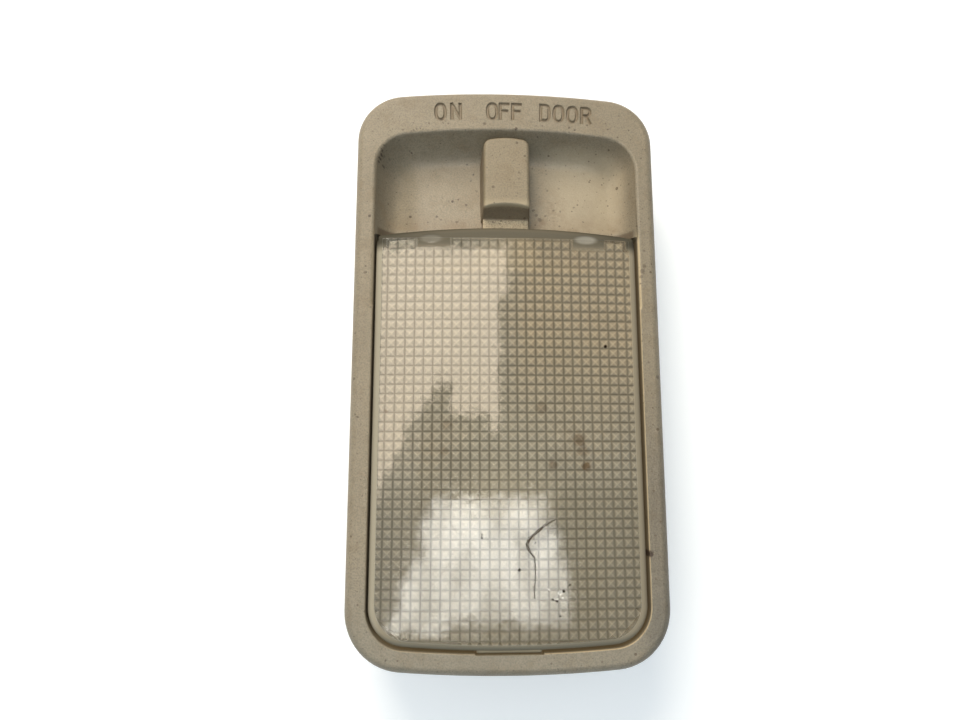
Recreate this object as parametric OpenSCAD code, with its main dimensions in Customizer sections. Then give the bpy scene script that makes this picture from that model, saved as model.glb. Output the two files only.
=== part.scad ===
// Dome light of a car: a moulded housing with a dished switch bay and a deep
// lamp chamber, a prismatic lens that tilts on two tabs, a three-position
// slide switch, stamped contact strips and a double-ended tubular bulb.
// X runs across the lamp, Y towards the switch end, Z out of the lens.
// The origin is the centre of the flat back of the lamp. Millimetres.

/* [Housing] */
// Width of the rim across the lamp
body_w = 74; // [73.6:0.1:74.4]
// Length of the rim over its crowned ends
body_l = 140; // [139.6:0.1:140.4]
// Height of the rim's face above the back
rim_z = 25.3; // [25.1:0.1:25.5]
// Height of the skirt's edge, which lies against the roof lining
skirt_z = 14; // [13:0.5:14.5]
// Wall of the skirt
skirt_t = 2; // [1.8:0.1:2.2]
// Radius of the rim's outer corners
corner_r = 12; // [11:0.5:13]
// Radius of the crowned end beside the switch
crown_top_r = 260; // [200:10:320]
// Radius of the crowned end beside the lens
crown_bottom_r = 300; // [220:10:340]
// Floor and walls of the lamp chamber
chamber_t = 1.8; // [1.6:0.1:2]

/* [Opening and bay] */
// Half the width of the opening in the rim
open_a = 32.15; // [32.1:0.05:32.3]
// Distance from the middle to the bay's far edge
open_top = 59.3; // [59.1:0.1:59.6]
// Distance from the middle to the opening's near edge
open_bottom = 64.95; // [64.9:0.05:65.1]
// Radius of the dished floor of the bay
dish_r = 60; // [56:1:64]
// Height of the lowest line of the dished floor
dish_z = 17.6; // [17.5:0.05:17.7]
// Height of the seat under the lens's edge
seat_z = 19; // [18.9:0.05:19.05]

/* [Lens] */
// Half the width of the lens
lens_a = 31.75; // [31.6:0.05:31.8]
// Distance from the middle to the lens's upper edge
lens_top = 33.5; // [33.3:0.1:33.6]
// Distance from the middle to the lens's lower edge
lens_bottom = 64.45; // [64.3:0.05:64.5]
// Height of the crown of the lens above the back
lens_z = 26.2; // [26:0.1:26.3]
// Radius of the crown across the lens
lens_crown_r = 350; // [320:10:400]
// Thickness of the lens's face
lens_t = 2.2; // [2:0.1:2.4]

/* [Switch] */
// Width of the thumb piece
knob_w = 11.4; // [11:0.1:11.8]
// Height of the thumb piece's top above the back
knob_z = 26.2; // [26:0.1:26.3]
// Spacing of the three switch positions
step_x = 14.5; // [14:0.1:14.6]

/* [Bulb] */
// Length of the bulb over its pointed caps
bulb_l = 31; // [30.8:0.1:31]
// Diameter of the bulb's glass
bulb_d = 10; // [9.6:0.1:10]
// Distance from the middle to the bulb's axis
bulb_y = -18; // [-18.2:0.1:-17.8]
// Height of the bulb's axis above the back
bulb_z = 11; // [10.9:0.1:11.1]

/* [Screw holes] */
// Distance between the two screw holes
screw_pitch = 60; // [59:0.5:60]
// Distance from the middle to the upper screw hole
screw_y = 7.5; // [7.3:0.1:7.6]
// Radius of the screw holes
screw_r = 2.6; // [2.2:0.1:2.7]

/* [Hidden] */
$fn = 48;
body_a = body_w / 2;
body_h = body_l / 2;
wall_y = 33.2;              // inner face of the chamber's end wall
dish_y = 50;                // line where the bay is deepest
floor_lip_y = 34.2;         // front edge of the bay's floor, crowned as the lens is
tab_x0 = 22.5;              // inner side of each lens tab
tab_w = 6;                  // width of each lens tab
pivot_y = 31;               // axis about which the lens tilts
pivot_z = 17.9;
strip_z = 4.6;              // underside of the strips on the chamber's ribs
strip_t = 0.8;
board_z = 12.4;             // underside of the insulating board
board_t = 1.6;
top_z = board_z + board_t;  // where the board's contacts lie
track_t = 0.5;
blade_w = 2.8;
pin_x = [-6, 0, 6];         // the three blades of the connector

function arc(cx, cy, r, a0, a1, n) =
  [for (i = [0:n]) [cx + r * cos(a0 + (a1 - a0) * i / n), cy + r * sin(a0 + (a1 - a0) * i / n)]];
function mid_arc(cx, cy, r, a0, a1, n) =
  [for (i = [1:n - 1]) [cx + r * cos(a0 + (a1 - a0) * i / n), cy + r * sin(a0 + (a1 - a0) * i / n)]];

// Rectangle with crowned ends and round corners: half width a, ends at y = t
// and y = -b, end radii ct and cb, corner radii rt and rb, all moved in by d.
function crowned(a0, t0, b0, ct0, cb0, rt0, rb0, d = 0, n = 6, m = 8) =
  let (a = a0 - d, t = t0 - d, b = b0 - d, ct = ct0 - d, cb = cb0 - d,
       rt = max(rt0 - d, 0.4), rb = max(rb0 - d, 0.4),
       yt = t - ct + sqrt(pow(ct - rt, 2) - pow(a - rt, 2)),
       yb = -(b - cb + sqrt(pow(cb - rb, 2) - pow(a - rb, 2))),
       pt = atan2(yt - (t - ct), a - rt),
       pb = atan2((cb - b) - yb, a - rb))
  concat(
    arc(a - rt, yt, rt, 0, pt, n),
    mid_arc(0, t - ct, ct, pt, 180 - pt, m),
    arc(-(a - rt), yt, rt, 180 - pt, 180, n),
    arc(-(a - rb), yb, rb, 180, 180 + pb, n),
    mid_arc(0, cb - b, cb, 180 + pb, 360 - pb, m),
    arc(a - rb, yb, rb, 360 - pb, 360, n));

function body_pts(d) = crowned(body_a, body_h, body_h, crown_top_r, crown_bottom_r, corner_r, corner_r, d);
function open_pts(d) = crowned(open_a, open_top, open_bottom, 200, 300, 8.5, 9, d);
function bay_pts(d) = crowned(open_a, open_top, -20, 200, 300, 8.5, 1, d);
function bay_low_pts(d) = crowned(open_a - 3.6, open_top - 2.5, -20, 200, 300, 7, 1, d);
function seat_pts(d) = crowned(open_a, floor_lip_y, open_bottom, 240, 300, 0.6, 9, d);
function chamber_pts(d) = crowned(29.6, wall_y, 61, 3000, 600, 1.5, 5, d);
function lens_pts(d) = crowned(lens_a, lens_top, lens_bottom, 240, 300, 1.4, 8.6, d);

module slice(pts, z, t = 0.02) translate([0, 0, z]) linear_extrude(t) polygon(pts);
module prism(pts, z0, z1) translate([0, 0, z0]) linear_extrude(z1 - z0) polygon(pts);
module box(x0, x1, y0, y1, z0, z1) translate([x0, y0, z0]) cube([x1 - x0, y1 - y0, z1 - z0]);
module pair() { children(); mirror([1, 0, 0]) children(); }
module peg(x, y, z0, z1, r) translate([x, y, z0]) cylinder(h = z1 - z0, r = r);
// Profile in the Y-Z plane, drawn out along X from x0 to x1.
module along_x(pts, x0, x1) translate([x0, 0, 0]) rotate([90, 0, 90]) linear_extrude(x1 - x0) polygon(pts);
// Drum lying along X: the dished floor of the bay and what slides on it.
module drum(r, x = 40) translate([-x, dish_y, dish_z + dish_r]) rotate([0, 90, 0]) cylinder(h = 2 * x, r = r, $fn = 96);

// ---- housing -------------------------------------------------------------

module rim_solid() hull() {
  slice(body_pts(0), skirt_z);
  slice(body_pts(0.3), rim_z - 3.6);
  slice(body_pts(1.1), rim_z - 1.4);
  slice(body_pts(3), rim_z - 0.02);
}

module bay_shell() intersection() {
  hull() { slice(bay_pts(-1.6), rim_z - 1.2); slice(bay_low_pts(-1.6), 13.6); }
  drum(dish_r + 1.8);
  box(-36, 36, 31, 63, 12, rim_z);
}

module bay_pocket() intersection() {
  union() {
    hull() { slice(bay_pts(0), rim_z - 1.2); slice(bay_low_pts(0), 15.6); }
    prism(bay_pts(0), rim_z - 1.19, rim_z + 2);
  }
  drum(dish_r);
  box(-40, 40, 30, 66, 12, 30);
}

module connector_shroud() difference() {
  box(-11.6, 11.6, wall_y + chamber_t - 0.6, 47, 0.6, 14);
  box(-10, 10, wall_y + chamber_t, 48, 2.2, 12.4);
}

// Legend cut into the rim: strokes of constant width.
glyph_h = 4.6;
glyph_w = 2.6;
stroke = 0.5;
module ring_o() difference() {
  union() {
    for (s = [-1, 1]) translate([0, s * (glyph_h - glyph_w) / 2]) circle(d = glyph_w, $fn = 24);
    square([glyph_w, glyph_h - glyph_w], center = true);
  }
  for (s = [-1, 1]) translate([0, s * (glyph_h - glyph_w) / 2]) circle(d = glyph_w - 2 * stroke, $fn = 24);
  square([glyph_w - 2 * stroke, glyph_h - glyph_w], center = true);
}
module bar(x0, y0, x1, y1) translate([x0, y0]) square([x1 - x0, y1 - y0]);
module letter(c) {
  h = glyph_h / 2; w = glyph_w / 2; s = stroke;
  if (c == "O") ring_o();
  if (c == "N") {
    bar(-w, -h, -w + s, h); bar(w - s, -h, w, h);
    polygon([[-w, h], [-w + s * 1.2, h], [w, -h], [w - s * 1.2, -h]]);
  }
  if (c == "F") { bar(-w, -h, -w + s, h); bar(-w, h - s, w, h); bar(-w, -s / 2 + 0.1, w - 0.3, s / 2 + 0.1); }
  if (c == "D") {
    bar(-w, -h, -w + s, h);
    difference() {
      union() { bar(-w, -h, 0, h); for (k = [-1, 1]) translate([0, k * (h - w)]) circle(r = w, $fn = 24); bar(0, -(h - w), w, h - w); }
      union() { bar(-w - 1, -h + s, 0, h - s); for (k = [-1, 1]) translate([0, k * (h - w)]) circle(r = w - s, $fn = 24); bar(0, -(h - w), w - s, h - w); }
    }
  }
  if (c == "R") {
    bar(-w, -h, -w + s, h);
    difference() {
      union() { bar(-w, 0, 0, h); translate([0, h / 2]) circle(r = h / 2, $fn = 24); }
      union() { bar(-w - 1, s, 0, h - s); translate([0, h / 2]) circle(r = h / 2 - s, $fn = 24); }
    }
    polygon([[-0.2, 0.2], [0.5, 0.2], [w + 0.1, -h], [w - 0.55, -h]]);
  }
}
// A word on the shallow arc that follows the crowned end.
module word(w, x, y, pitch) for (i = [0:len(w) - 1])
  let (px = x + (i - (len(w) - 1) / 2) * pitch)
    translate([px, y - px * px / 520, 0]) rotate(-px * 0.11) letter(w[i]);
module legend() translate([0, 0, rim_z - 0.35]) linear_extrude(1) {
  word("ON", -14.6, 64.5, 3.9);
  word("OFF", -0.5, 64.6, 3.1);
  word("DOOR", 15, 64.9, 3.5);
}

module housing() color([0.64, 0.59, 0.50]) difference() {
  union() {
    difference() {
      union() {
        difference() { rim_solid(); prism(body_pts(skirt_t), skirt_z - 1, rim_z - 2.3); }
        prism(open_pts(-1.6), seat_z - chamber_t, rim_z - 2);
        prism(chamber_pts(-chamber_t), 0, seat_z);
      }
      // room behind the bay, below its floor
      box(-33.7, 33.7, wall_y + chamber_t, 61.5, skirt_z - 1, rim_z - 2.3);
      prism(open_pts(0), rim_z - 2.5, rim_z + 2);
      prism(seat_pts(0), seat_z, rim_z + 2);
      prism(chamber_pts(0), chamber_t, rim_z);
    }
    difference() { bay_shell(); prism(seat_pts(0), seat_z - 4, rim_z); }
    connector_shroud();
    // screw bosses
    for (k = [0, 1]) peg(0, screw_y - k * screw_pitch, 0, 4.2, 5.5);
    // rails and ribs that carry the strips and the reflector
    box(-27.2, -24.4, -24, 29, 1, strip_z);
    box(24.4, 27.2, -24, 17.8, 1, strip_z);
    box(-24.6, 8, 26, 27, 1, strip_z);
    pair() box(16.4, 24.6, bulb_y - 2, bulb_y + 2, 1, strip_z + strip_t);
    pair() box(8.4, 9.8, bulb_y - 8, bulb_y + 8, 1, strip_z);
    // ledges and posts under the insulating board
    pair() box(28, 30, 13.5, 32.4, board_z - 1.6, board_z);
    pair() peg(25, 29.4, 1, board_z, 1.9);
  }
  bay_pocket();
  legend();
  // prising notch at the lens's lower edge
  box(-7.7, 7.7, -open_bottom - 0.2, -open_bottom + 1, rim_z - 2.8, rim_z + 1);
  // windows for the lens's two tabs
  pair() box(tab_x0 - 0.5, tab_x0 + tab_w + 0.5, 31.8, 36, 15.6, 18.6);
  // relief for the lens's upper corners as it tilts
  pair() box(29.3, open_a, 31.2, 32.7, 18.3, rim_z + 1);
  // slots for the three blades
  for (x = pin_x) box(x - blade_w / 2 - 0.1, x + blade_w / 2 + 0.1, wall_y - 1, wall_y + 3, strip_z - 0.1, strip_z + strip_t + 0.1);
  for (k = [0, 1]) peg(0, screw_y - k * screw_pitch, -1, 6, screw_r);
  pair() peg(25, 29.4, 5, board_z + 1, 0.95);
  pair() peg(25.8, bulb_y, 2.4, strip_z + 1, 1.02);
}

// ---- lens ----------------------------------------------------------------

module lens_drum(z, r) translate([0, 100, z - r]) rotate([90, 0, 0]) cylinder(h = 200, r = r, $fn = 360);

module lens() color([0.84, 0.80, 0.70, 0.55]) {
  difference() {
    intersection() {
      hull() {
        slice(lens_pts(0), seat_z + 0.1);
        slice(lens_pts(0), lens_z - 2.7);
        slice(lens_pts(0.7), lens_z - 1.75);
        slice(lens_pts(2.2), lens_z + 0.1);
      }
      lens_drum(lens_z, lens_crown_r);
    }
    intersection() {
      prism(lens_pts(1.8), seat_z - 1, lens_z);
      lens_drum(lens_z - lens_t, lens_crown_r - lens_t);
    }
    // gap through which the switch's tongue passes
    box(-tab_x0 + 1, tab_x0 - 1, 30, 36, seat_z - 1, 22.9);
  }
  // prising tab
  box(-7.3, 7.3, -lens_bottom - 0.45, -lens_bottom + 1.2, lens_z - 3.4, lens_z - 1.7);
  // tilting tabs: a leg down and a toe under the bay's floor
  pair() {
    box(tab_x0, tab_x0 + tab_w, pivot_y - 0.6, pivot_y + 0.5, pivot_z - 0.5, seat_z + 1);
    box(tab_x0, tab_x0 + tab_w, pivot_y - 0.6, pivot_y + 3.6, pivot_z - 0.5, pivot_z + 0.5);
  }
}

// ---- slide switch --------------------------------------------------------

function knob_pts(w, y0, y1, r) = concat(
  arc(w / 2 - r, y1 - r, r, 0, 90, 5), arc(-(w / 2 - r), y1 - r, r, 90, 180, 5),
  [[-w / 2, y0], [w / 2, y0]]);

module switch_knob() color([0.64, 0.59, 0.50]) difference() {
  union() {
    // thumb piece, standing on the bay's floor
    intersection() {
      hull() {
        slice(knob_pts(knob_w - 1.4, 39.8, 57.0, 2.6), knob_z - 0.02);
        slice(knob_pts(knob_w, 39.4, 57.4, 3), knob_z - 0.8);
        slice(knob_pts(knob_w + 1.2, 37.0, 54.6, 3.5), 17.8);
      }
      drum(dish_r - 0.3);
    }
    // tongue over the chamber's wall and carrier under the lens
    box(-knob_w / 2, knob_w / 2, 24, 41, 20.6, 21.85);
    box(-7.5, 7.5, 17.1, 30, top_z + 3, 20.6);
    box(-7.5, 7.5, 23.8, 30, 20.5, 21.85);
  }
  // blind hole for the detent spring
  translate([0, 16, 18.9]) rotate([-90, 0, 0]) cylinder(h = 10, r = 1.6);
  // hollow under the thumb piece
  intersection() {
    box(-knob_w / 2 + 1.2, knob_w / 2 - 1.2, 42, 53.2, 16, 24.4);
    drum(dish_r + 5);
  }
}

module contact_leaf() color([0.78, 0.60, 0.36]) {
  along_x([[18.9, 16.65], [18.9, 16.98], [28, 16.98], [28, 16.65]], -2, 2);
  along_x([[18.9, 16.8], [19.3, 16.8], [21, 14.85], [22, 15.7], [22.2, 15.5], [21.1, 14.52], [20.85, 14.52]], -2, 2);
  along_x([[28, 16.8], [27.6, 16.8], [25.9, 14.85], [24.9, 15.7], [24.7, 15.5], [25.8, 14.52], [26.05, 14.52]], -2, 2);
}

module detent_ball() color([0.75, 0.76, 0.78]) translate([0, 17.05, 18.9]) sphere(r = 1.5);

// Coil with closed ends, swept as one six-sided wire.
coil_r = 1.1; coil_wire = 0.17; coil_turns = 7; coil_y0 = 18.72; coil_y1 = 25.8; coil_steps = 12;
coil_n = coil_turns * coil_steps;
function coil_at(i) = let (t = i / coil_n) [coil_r * cos(360 * coil_turns * t), coil_y0 + (coil_y1 - coil_y0) * t, coil_r * sin(360 * coil_turns * t)];
module detent_spring() color([0.70, 0.71, 0.73]) translate([0, 0, 18.9]) polyhedron(
  points = [for (i = [0:coil_n]) let (p = coil_at(i), a = 360 * coil_turns * i / coil_n)
    for (j = [0:5]) let (b = 60 * j) [p[0] + coil_wire * cos(b) * cos(a), p[1] + coil_wire * sin(b), p[2] + coil_wire * cos(b) * sin(a)]],
  faces = concat(
    [[0, 1, 2, 3, 4, 5]],
    [for (i = [0:coil_n - 1]) for (j = [0:5]) let (k = (j + 1) % 6) [i * 6 + j, (i + 1) * 6 + j, (i + 1) * 6 + k]],
    [for (i = [0:coil_n - 1]) for (j = [0:5]) let (k = (j + 1) % 6) [i * 6 + j, (i + 1) * 6 + k, i * 6 + k]],
    [[for (j = [5:-1:0]) coil_n * 6 + j]]));

rivet_at = [[-20.4, 25.7], [20.4, 25.7], [-18.2, 21], [18.2, 20.6]];

module switch_board() color([0.36, 0.23, 0.13]) difference() {
  box(-28.8, 28.8, 13.5, 32.4, board_z, top_z);
  for (p = rivet_at) peg(p[0], p[1], board_z - 1, top_z + 1, 0.85);
  pair() box(4.4, 7.6, 28.8, 30, board_z - 1, top_z + 1);
  box(16.8, 19.6, 16.8, 18, board_z - 1, top_z + 1);
  pair() peg(25, 29.4, board_z - 1, top_z + 1, 1.2);
}

module switch_cover() color([0.20, 0.17, 0.14]) difference() {
  union() {
    along_x([[13.6, top_z], [15.5, top_z], [15.5, 20.8], [23.5, 20.8], [23.5, 22], [13.6, 22]], -28, 28);
    pair() box(26.6, 28, 15, 29.4, top_z, 21);
    pair() box(22.6, 27, 27.4, 30.8, top_z, top_z + 1.4);
  }
  for (k = [-1, 0, 1]) peg(k * step_x, 16.6, top_z + 2.5, 21.3, 1.6);
  pair() peg(25, 29.4, top_z - 1, top_z + 2, 1.2);
}

module cover_screws() color([0.70, 0.70, 0.70]) pair() difference() {
  union() {
    peg(25, 29.4, 6, top_z + 1.4, 0.93);
    // pan head, kept clear of the cover's end wall by its small diameter
    peg(25, 29.4, top_z + 1.4, top_z + 2.5, 1.5);
  }
  translate([25, 29.4, top_z + 2.5]) for (a = [0, 90]) rotate(a) cube([1.9, 0.4, 1], center = true);
}

// ---- contact strips ------------------------------------------------------

module supply_strip() color([0.80, 0.64, 0.34]) difference() {
  union() {
    box(-blade_w / 2, blade_w / 2, 25.6, 45, strip_z, strip_z + strip_t);
    box(-27, blade_w / 2, 25.6, 27.4, strip_z, strip_z + strip_t);
    box(-27, -24.6, bulb_y - 3, 27.4, strip_z, strip_z + strip_t);
  }
  peg(-25.8, bulb_y, 3, 7, 1.05);
}

module lamp_strip() color([0.80, 0.64, 0.34]) difference() {
  union() {
    box(24.6, 27, bulb_y - 3, 17.8, strip_z, strip_z + strip_t);
    box(17, 27, 15.4, 17.8, strip_z, strip_z + strip_t);
    box(17, 19.4, 17, 17.8, strip_z, top_z + track_t);
    box(17, 19.4, 17, 22, top_z, top_z + track_t);
    box(-19.4, 19.4, 20, 22, top_z, top_z + track_t);
  }
  peg(25.8, bulb_y, 3, 7, 1.05);
  for (i = [2, 3]) peg(rivet_at[i][0], rivet_at[i][1], board_z, top_z + 2, 0.85);
}

// Blade, riser through the board and fixed contact on it.
module switched_strip() difference() {
  union() {
    box(6 - blade_w / 2, 6 + blade_w / 2, 29, 45, strip_z, strip_z + strip_t);
    box(6 - blade_w / 2, 6 + blade_w / 2, 29, 29.8, strip_z, top_z + track_t);
    box(6 - blade_w / 2, 6 + blade_w / 2, 24.4, 29.8, top_z, top_z + track_t);
    box(6 - blade_w / 2, 21.8, 24.4, 27, top_z, top_z + track_t);
  }
  peg(rivet_at[1][0], rivet_at[1][1], board_z, top_z + 2, 0.85);
}
module ground_strip() color([0.80, 0.64, 0.34]) mirror([1, 0, 0]) switched_strip();
module door_strip() color([0.80, 0.64, 0.34]) switched_strip();

module board_rivets() color([0.72, 0.56, 0.30]) for (p = rivet_at) {
  peg(p[0], p[1], board_z - 0.4, top_z + track_t + 0.35, 0.8);
  peg(p[0], p[1], board_z - 0.4, board_z - 0.02, 1.3);
  peg(p[0], p[1], top_z + track_t + 0.02, top_z + track_t + 0.35, 1.3);
}

// ---- bulb and what holds it ----------------------------------------------

tip_x = bulb_l / 2;
module bulb_clip() difference() {
  union() {
    box(tip_x - 0.8, 26.8, bulb_y - 2.5, bulb_y + 2.5, strip_z + strip_t, strip_z + strip_t + 0.5);
    box(tip_x - 0.8, tip_x - 0.3, bulb_y - 3.5, bulb_y + 3.5, strip_z + strip_t, 15);
    // lead-in lip
    along_y([[tip_x - 0.8, 15], [tip_x - 0.3, 15], [tip_x + 1.6, 17.2], [tip_x + 1.15, 17.4]], bulb_y - 3.5, bulb_y + 3.5);
  }
  translate([tip_x - 3, bulb_y, bulb_z]) rotate([0, 90, 0]) cylinder(h = 5, r = 1.1);
  peg(25.8, bulb_y, 3, 7, 1.05);
}
// Profile in the X-Z plane, drawn out along Y from y0 to y1.
module along_y(pts, y0, y1) translate([0, y1, 0]) rotate([90, 0, 0]) linear_extrude(y1 - y0) polygon(pts);
module bulb_clip_right() color([0.76, 0.70, 0.52]) bulb_clip();
module bulb_clip_left() color([0.76, 0.70, 0.52]) mirror([1, 0, 0]) bulb_clip();

module clip_rivets() color([0.72, 0.56, 0.30]) pair() {
  peg(25.8, bulb_y, 2.6, strip_z + strip_t + 0.5, 1);
  peg(25.8, bulb_y, strip_z + strip_t + 0.52, strip_z + strip_t + 1.1, 1.8);
  peg(25.8, bulb_y, strip_z + strip_t + 0.4, strip_z + strip_t + 0.6, 1);
}

// Folded sheet trough under the bulb.
function trough(t) = [[-19, 12.5 + t], [-8.6, strip_z + t], [8.6, strip_z + t], [18.6, 12.5 + t]];
module reflector() color([0.86, 0.86, 0.85])
  along_x([for (p = concat(trough(0), [for (i = [3:-1:0]) trough(0.4)[i]])) [p[0] + bulb_y, p[1]]], -13.4, 13.4);

// Turned profile about the bulb's own axis: [distance along, radius] pairs.
module turned(pts) translate([0, bulb_y, bulb_z]) rotate([0, 90, 0]) rotate_extrude() polygon([for (p = pts) [p[1], p[0]]]);
bulb_r = bulb_d / 2;
module bulb_glass() color([0.90, 0.92, 0.92, 0.35]) difference() {
  turned([[-11.8, 0], [-11.8, 2.9], [-9.8, 3], [-8.2, 4.3], [-6.4, bulb_r], [6.4, bulb_r], [8.2, 4.3], [9.8, 3], [11.8, 2.9], [11.8, 0]]);
  turned([[-11.2, 0], [-11.2, 2.3], [-9.7, 2.4], [-7.9, 3.7], [-6.2, bulb_r - 0.6], [6.2, bulb_r - 0.6], [7.9, 3.7], [9.7, 2.4], [11.2, 2.3], [11.2, 0]]);
}
module bulb_cap() difference() {
  turned([[9.9, 0], [9.9, 3.5], [13.9, 3.5], [14.5, 1], [tip_x, 0.9], [tip_x, 0]]);
  turned([[9, 0], [9, 3.05], [12, 3.05], [13.2, 2.4], [13.2, 0]]);
}
module bulb_cap_right() color([0.78, 0.78, 0.76]) bulb_cap();
module bulb_cap_left() color([0.78, 0.78, 0.76]) mirror([1, 0, 0]) bulb_cap();

// Two leads and a fine coil hung in a shallow arc between them.
fil_r = 0.25; fil_sag = 1.4;
module bulb_filament() color([0.45, 0.45, 0.47]) {
  pair() translate([7.5, bulb_y, bulb_z]) rotate([0, 90, 0]) cylinder(h = 3.6, r = fil_r, $fn = 16);
  intersection() {
    translate([0, bulb_y, bulb_z + 7.5 * 7.5 / (2 * fil_sag) + fil_sag / 2 - fil_sag]) rotate([90, 0, 0])
      rotate_extrude($fn = 120) translate([7.5 * 7.5 / (2 * fil_sag) + fil_sag / 2, 0]) circle(r = fil_r, $fn = 16);
    box(-7.6, 7.6, bulb_y - 1, bulb_y + 1, bulb_z - 3, bulb_z + 0.6);
  }
}

housing();
lens();
switch_knob();
contact_leaf();
detent_ball();
detent_spring();
switch_board();
switch_cover();
cover_screws();
supply_strip();
lamp_strip();
ground_strip();
door_strip();
board_rivets();
bulb_clip_left();
bulb_clip_right();
clip_rivets();
reflector();
bulb_glass();
bulb_cap_left();
bulb_cap_right();
bulb_filament();
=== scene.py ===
import math

import bpy
import numpy as np
from mathutils import Matrix, Vector


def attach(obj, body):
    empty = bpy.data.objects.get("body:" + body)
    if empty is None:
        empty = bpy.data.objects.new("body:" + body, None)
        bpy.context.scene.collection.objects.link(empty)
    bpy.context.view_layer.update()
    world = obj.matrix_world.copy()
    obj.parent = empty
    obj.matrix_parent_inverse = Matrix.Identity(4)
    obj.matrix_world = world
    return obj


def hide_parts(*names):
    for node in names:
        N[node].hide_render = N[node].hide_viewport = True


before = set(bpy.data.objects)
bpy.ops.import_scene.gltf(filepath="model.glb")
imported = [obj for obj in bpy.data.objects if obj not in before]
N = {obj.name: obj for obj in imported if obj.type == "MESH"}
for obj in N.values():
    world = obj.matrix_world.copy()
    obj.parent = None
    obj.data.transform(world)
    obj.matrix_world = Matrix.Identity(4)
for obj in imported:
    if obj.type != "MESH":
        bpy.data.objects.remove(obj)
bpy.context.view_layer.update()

# ---------------------------------------------------------------- outlines (mm)


def crowned(a, t, b, ct, cb, rt, rb, d=0.0, n=14, m=44):
    """Rectangle with crowned ends and round corners, moved in by d."""
    a, t, b, ct, cb = a - d, t - d, b - d, ct - d, cb - d
    rt, rb = max(rt - d, 0.3), max(rb - d, 0.3)
    yt = t - ct + math.sqrt((ct - rt) ** 2 - (a - rt) ** 2)
    yb = -(b - cb + math.sqrt((cb - rb) ** 2 - (a - rb) ** 2))
    pt = math.degrees(math.atan2(yt - (t - ct), a - rt))
    pb = math.degrees(math.atan2((cb - b) - yb, a - rb))

    def arc(cx, cy, r, a0, a1, k, inner=False):
        i = np.arange(1, k) if inner else np.arange(0, k + 1)
        u = np.radians(a0 + (a1 - a0) * i / k)
        return np.stack([cx + r * np.cos(u), cy + r * np.sin(u)], 1)

    return np.concatenate([
        arc(a - rt, yt, rt, 0, pt, n),
        arc(0, t - ct, ct, pt, 180 - pt, m, True),
        arc(-(a - rt), yt, rt, 180 - pt, 180, n),
        arc(-(a - rb), yb, rb, 180, 180 + pb, n),
        arc(0, cb - b, cb, 180 + pb, 360 - pb, m, True),
        arc(a - rb, yb, rb, 360 - pb, 360, n),
    ])


def dense(rings, step):
    """Adds points on the long segments of every ring, the same number in each."""
    ref = rings[0]
    seg = np.linalg.norm(np.roll(ref, -1, 0)[:, :2] - ref[:, :2], axis=1)
    k = np.maximum(1, np.ceil(seg / step).astype(int))
    out = []
    for r in rings:
        nxt = np.roll(r, -1, 0)
        out.append(np.concatenate([
            r[i] + (nxt[i] - r[i]) * (np.arange(k[i])[:, None] / k[i]) for i in range(len(r))
        ]))
    return out


def body_pts(d=0.0):
    return crowned(37, 70, 70, 260, 300, 12, 13.4, d)


def open_pts(d=0.0):
    return crowned(32.15, 59.3, 64.95, 200, 300, 8.5, 9, d)


def bay_pts(d=0.0):
    return crowned(32.15, 59.3, -12, 200, 300, 8.5, 1, d)


def seat_pts(d=0.0):
    return crowned(32.15, 34.2, 64.95, 240, 300, 0.6, 9, d)


def chamber_pts(d=0.0):
    return crowned(29.6, 33.2, 61, 3000, 600, 1.5, 5, d)


def lens_pts(d=0.0, top=33.5):
    return crowned(31.75, top, 64.45, 240, 300, 0.8, 8.6, d)


# ---------------------------------------------------------------- solids (mm)


def make(name, verts, faces):
    me = bpy.data.meshes.new(name)
    me.from_pydata([tuple(v) for v in verts], [], [tuple(int(i) for i in f) for f in faces])
    me.validate()
    ob = bpy.data.objects.new(name, me)
    bpy.context.scene.collection.objects.link(ob)
    return ob


def loft(name, rings, end_fan=None, start_fan=None):
    """Closed solid through rings of 3-D points, with flat caps or fans to a point."""
    n = len(rings[0])
    v = np.concatenate(rings)
    f = []
    for k in range(len(rings) - 1):
        a, b = k * n, (k + 1) * n
        for i in range(n):
            j = (i + 1) % n
            f.append((a + i, a + j, b + j, b + i))
    last = (len(rings) - 1) * n
    if end_fan is None:
        f.append(tuple(last + i for i in range(n)))
    else:
        v = np.concatenate([v, [end_fan]])
        c = len(v) - 1
        f += [(last + i, last + (i + 1) % n, c) for i in range(n)]
    if start_fan is None:
        f.append(tuple(range(n - 1, -1, -1)))
    else:
        v = np.concatenate([v, [start_fan]])
        c = len(v) - 1
        f += [((i + 1) % n, i, c) for i in range(n)]
    return make(name, v, f)


def at(pts, z):
    pts = np.asarray(pts, float)
    z = np.broadcast_to(np.asarray(z, float), len(pts))
    return np.column_stack([pts, z])


def prism(pts, z0, z1, name="t"):
    pts = np.asarray(pts, float)
    return loft(name, [at(pts, z0), at(pts, z1)])


def box(x0, x1, y0, y1, z0, z1):
    return prism([(x0, y0), (x1, y0), (x1, y1), (x0, y1)], z0, z1)


def peg(x, y, z0, z1, r, k=40):
    a = np.arange(k) * 2 * math.pi / k
    return prism(np.stack([x + r * np.cos(a), y + r * np.sin(a)], 1), z0, z1)


def boole(base, tool, op="DIFFERENCE"):
    m = base.modifiers.new("b", "BOOLEAN")
    m.operation, m.object, m.solver = op, tool, "MANIFOLD"
    dg = bpy.context.evaluated_depsgraph_get()
    me = bpy.data.meshes.new_from_object(base.evaluated_get(dg))
    base.modifiers.clear()
    old = base.data
    base.data = me
    me.name = old.name
    bpy.data.meshes.remove(old)
    bpy.data.objects.remove(tool)
    if len(me.polygons) == 0:
        raise RuntimeError("empty result")
    return base


def both_sides(make_one):
    for s in (1, -1):
        yield make_one(s)


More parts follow.
